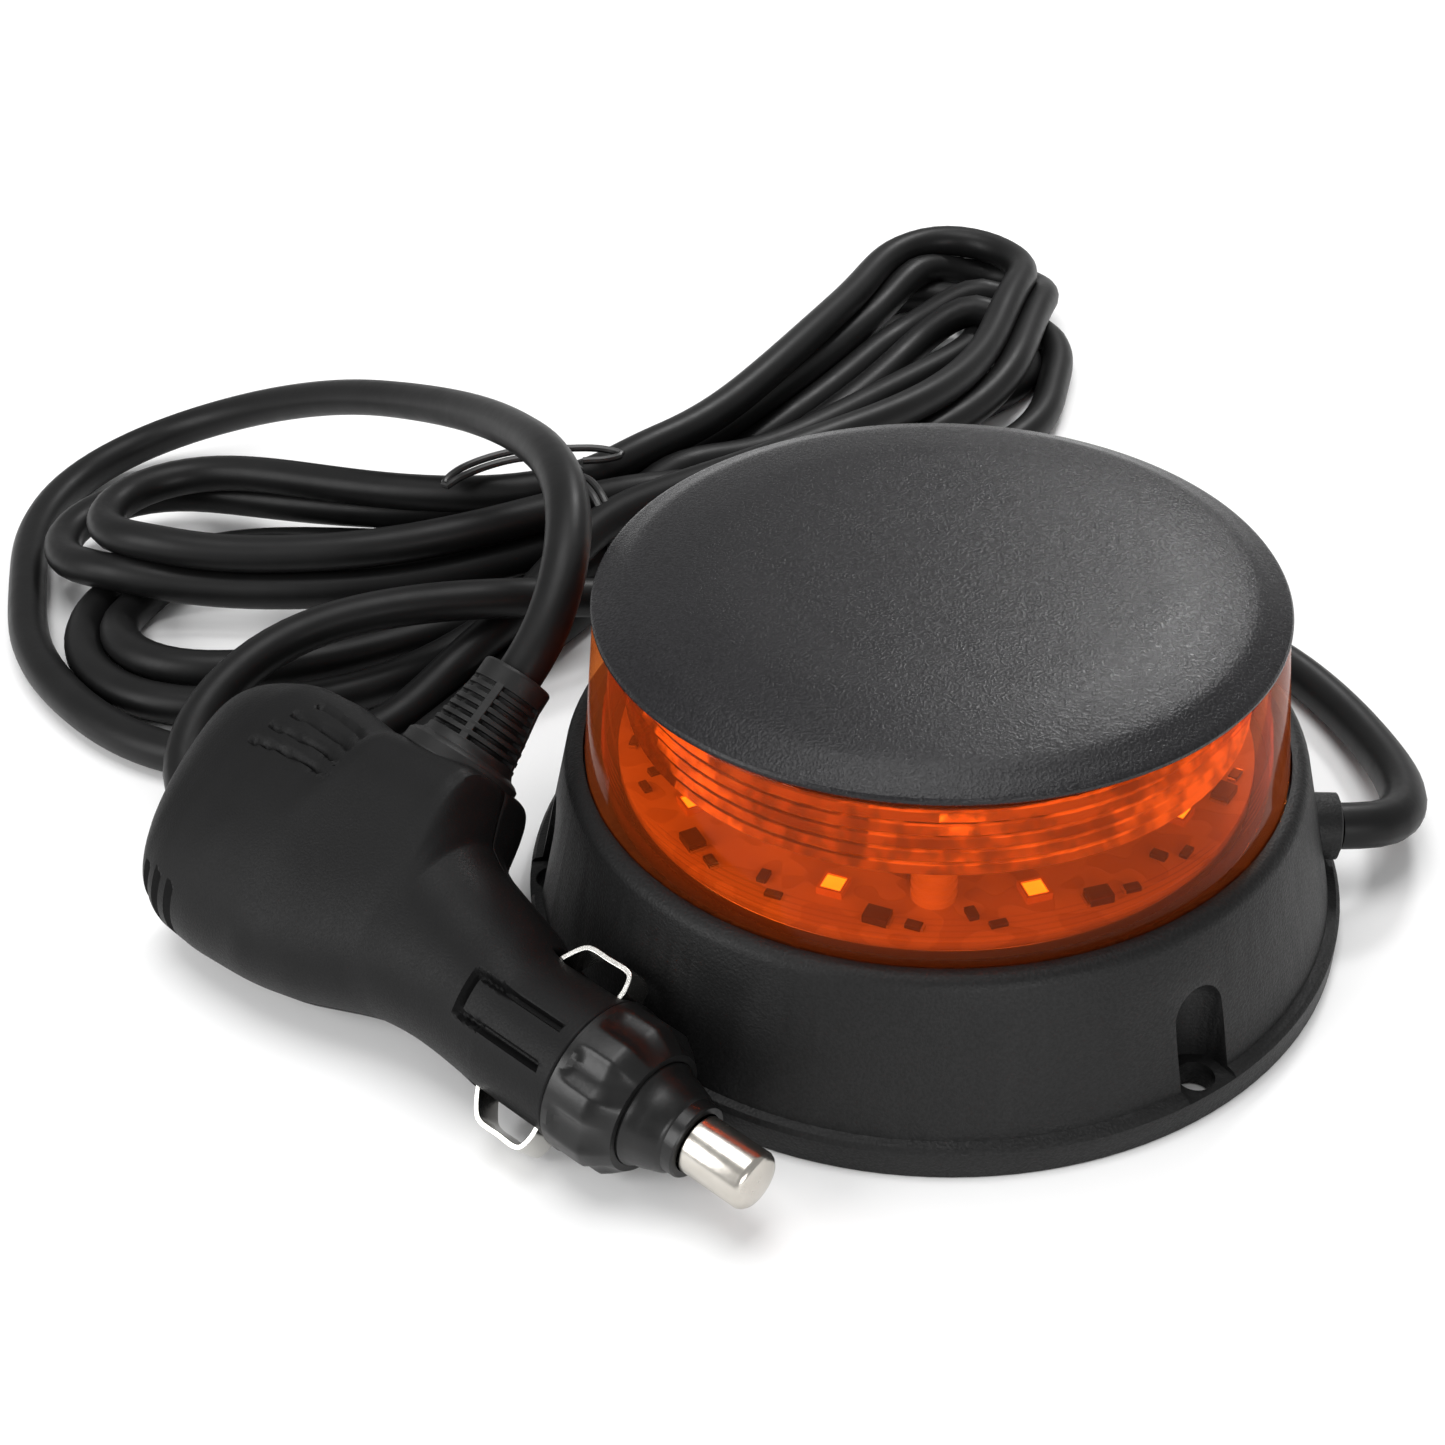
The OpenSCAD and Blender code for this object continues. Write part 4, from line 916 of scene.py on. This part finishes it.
cone_outline = [(5.6, 5.2), (9.05, 5.2), (9.05, 6.25), (7.4, 6.25), (7.4, 10.5), (7.25, 10.75),
                (6.9, 11.2), (6.6, 12.6), (5.75, 15.2), (5.45, 15.6), (5.2, 15.75),
                (5.15, 17.35), (4.95, 17.6), (4.15, 17.6), (4.15, 14.6), (5.6, 14.6)]
add_piece("nose_cone_stepped", *turned(cone_outline, 96), nose_plastic, smooth=28, body="nose",
          slot="nose_plastic", instead=("nose_cone",), place=plug_frame @ along_x)
tip_nickel = Finish("tip_nickel", (0.62, 0.59, 0.54), 0.24, Metallic=1.0)
tip_nickel.set(Roughness=0.14 + 0.2 * tip_nickel.grain(1.6, 3),
               Base_Color=tip_nickel.mix(tip_nickel.grain(3), (0.66, 0.63, 0.58),
                                         (0.50, 0.47, 0.42)))
tip_nickel.bump(tip_nickel.grain(0.9, 2), 0.012)
pin_outline = [(0, 11), (5.5, 11), (5.5, 14.45), (3.5, 14.5), (3.5, 17.8), (4.04, 17.95),
               (4.04, 26.6), (3.85, 27.05), (3.45, 27.45), (2.9, 27.62), (2.2, 27.72),
               (1.2, 27.82), (0, 27.88)]
add_piece("tip_pin_turned", *turned(pin_outline, 72), tip_nickel, smooth=28, body="tip",
          slot="tip_nickel", instead=("tip_pin",), place=plug_frame @ along_x)
fuse_glass = Finish("fuse_glass", (0.75, 0.8, 0.8), 0.08, Transmission_Weight=0.6)
fuse_glass.set(Roughness=0.05 + 0.05 * fuse_glass.grain(3))
node_copy("fuse_cartridge", "fuse", fuse_glass, body="tip", bevel=0.15)
SPRING_BACK, SPRING_L, SPRING_R, SPRING_TURNS, SPRING_STEPS = -31.4, 8.6, 2.6, 6, 220
spring_line = []
for k in range(SPRING_STEPS + 1):
    a = 2 * math.pi * SPRING_TURNS * k / SPRING_STEPS
    spring_line.append((SPRING_BACK + SPRING_L * (k / SPRING_STEPS), SPRING_R * math.cos(a),
                        SPRING_R * math.sin(a)))
contact_steel = brushed("contact_steel", (0.62, 0.61, 0.58), 0.22, (1, 1, 0.15))
add_piece("fuse_spring_coil", *swept(spring_line, round_ring(0.35, 8)), contact_steel,
          slot="contact_steel", instead=("fuse_spring",), place=plug_frame)
contact_brass = brushed("contact_brass", (0.66, 0.48, 0.20), 0.28, (1, 1, 0.2))
node_copy("centre_contact_brass", "centre_contact", contact_brass,
          bevel=0.12)

# ---- Side contacts ----
# Two strips of spring steel, bent outwards, stand through windows in the barrel and press
# on the socket's wall. Each springs in when the plug is pushed home.

contact_path = [(-13.2, 6.6), (-13.0, 8.4), (-12.3, 10.2), (-10.2, 13.0), (-9.2, 13.4),
                (-6.1, 13.4), (-3.0, 13.4), (-2.2, 13.0), (-1.7, 11.4), (-1.75, 9.0),
                (-2.0, 6.6)]
contact_line = smooth_line([(x, y, 0) for x, y in contact_path], 0.45)
strip_ring = [(0.36, -2.8), (0.36, 2.8), (-0.36, 2.8), (-0.36, -2.8)]
contact_points, contact_faces = swept(contact_line, strip_ring)
for contact_name, body, side in (("side_contact_near", "near_contact", -1),
                                 ("side_contact_far", "far_contact", 1)):
    mirrored = [(x, y * side, z) for x, y, z in contact_points]
    add_piece(contact_name + "_strip", mirrored, contact_faces, contact_steel, smooth=40,
              body=body, slot="contact_steel", instead=(contact_name,), place=plug_frame,
              bevel=0.1)

# ---- Tie ----
# A black plastic-coated wire goes twice round the hank. Its long doubled end is left as a
# loop that lies over the bundle.

tie_plastic = Finish("tie_plastic", (0.014, 0.014, 0.015), 0.38)
tie_plastic.set(Base_Color=tie_plastic.mix(tie_plastic.grain(3), (0.009, 0.009, 0.009),
                                           (0.02, 0.02, 0.02)))
tie_plastic.bump(tie_plastic.grain(0.8), 0.02)
tie_along = np.array((0.848, 0.53, 0.0))
TIE_R = 0.7


def tie_point(across, up, along):
    """A point of the wire from the tie's place: across and along the hank, and up."""
    return tie_at + tie_across * across + tie_along * along + np.array((0, 0, up))


band_way = []
for lap in (0, 1):
    for across, up in ((-4, 22.0), (-9, 21.6), (-12.5, 19.5), (-14.8, 15.5), (-15.2, 9),
                       (-14.4, 3.4), (-11.5, 0.8), (-5, 0.75), (5, 0.75), (11.5, 0.8),
                       (14.4, 3.4), (15.2, 9), (14.6, 14), (11, 18.6), (6, 21.4), (0, 22.0)):
        band_way.append(tie_point(across, up, lap * 1.5 - 0.6))
loop_way = [tie_point(0, 22.3, 0.4), (-66.5, 88.0, 23.2), (-70, 89.2, 23.4), (-76.2, 88.9, 23.2),
            (-82, 86.4, 22.8), (-86.6, 82.6, 22.4), (-88.4, 80.0, 22.2), (-88.8, 81.6, 22.3),
            (-87.0, 85.0, 22.8), (-82.5, 88.6, 23.3), (-76.2, 91.4, 23.6), (-68.7, 92.2, 23.6),
            (-61.2, 92.6, 23.4), (-57.0, 91.2, 23.0), (-59.4, 89.4, 23.0), (-64, 88.6, 23.0)]
add_piece("tie_wire", *swept(smooth_line(band_way + loop_way, 1.0), round_ring(TIE_R, 9)),
          tie_plastic, slot="tie_plastic", instead=("twist_tie",))
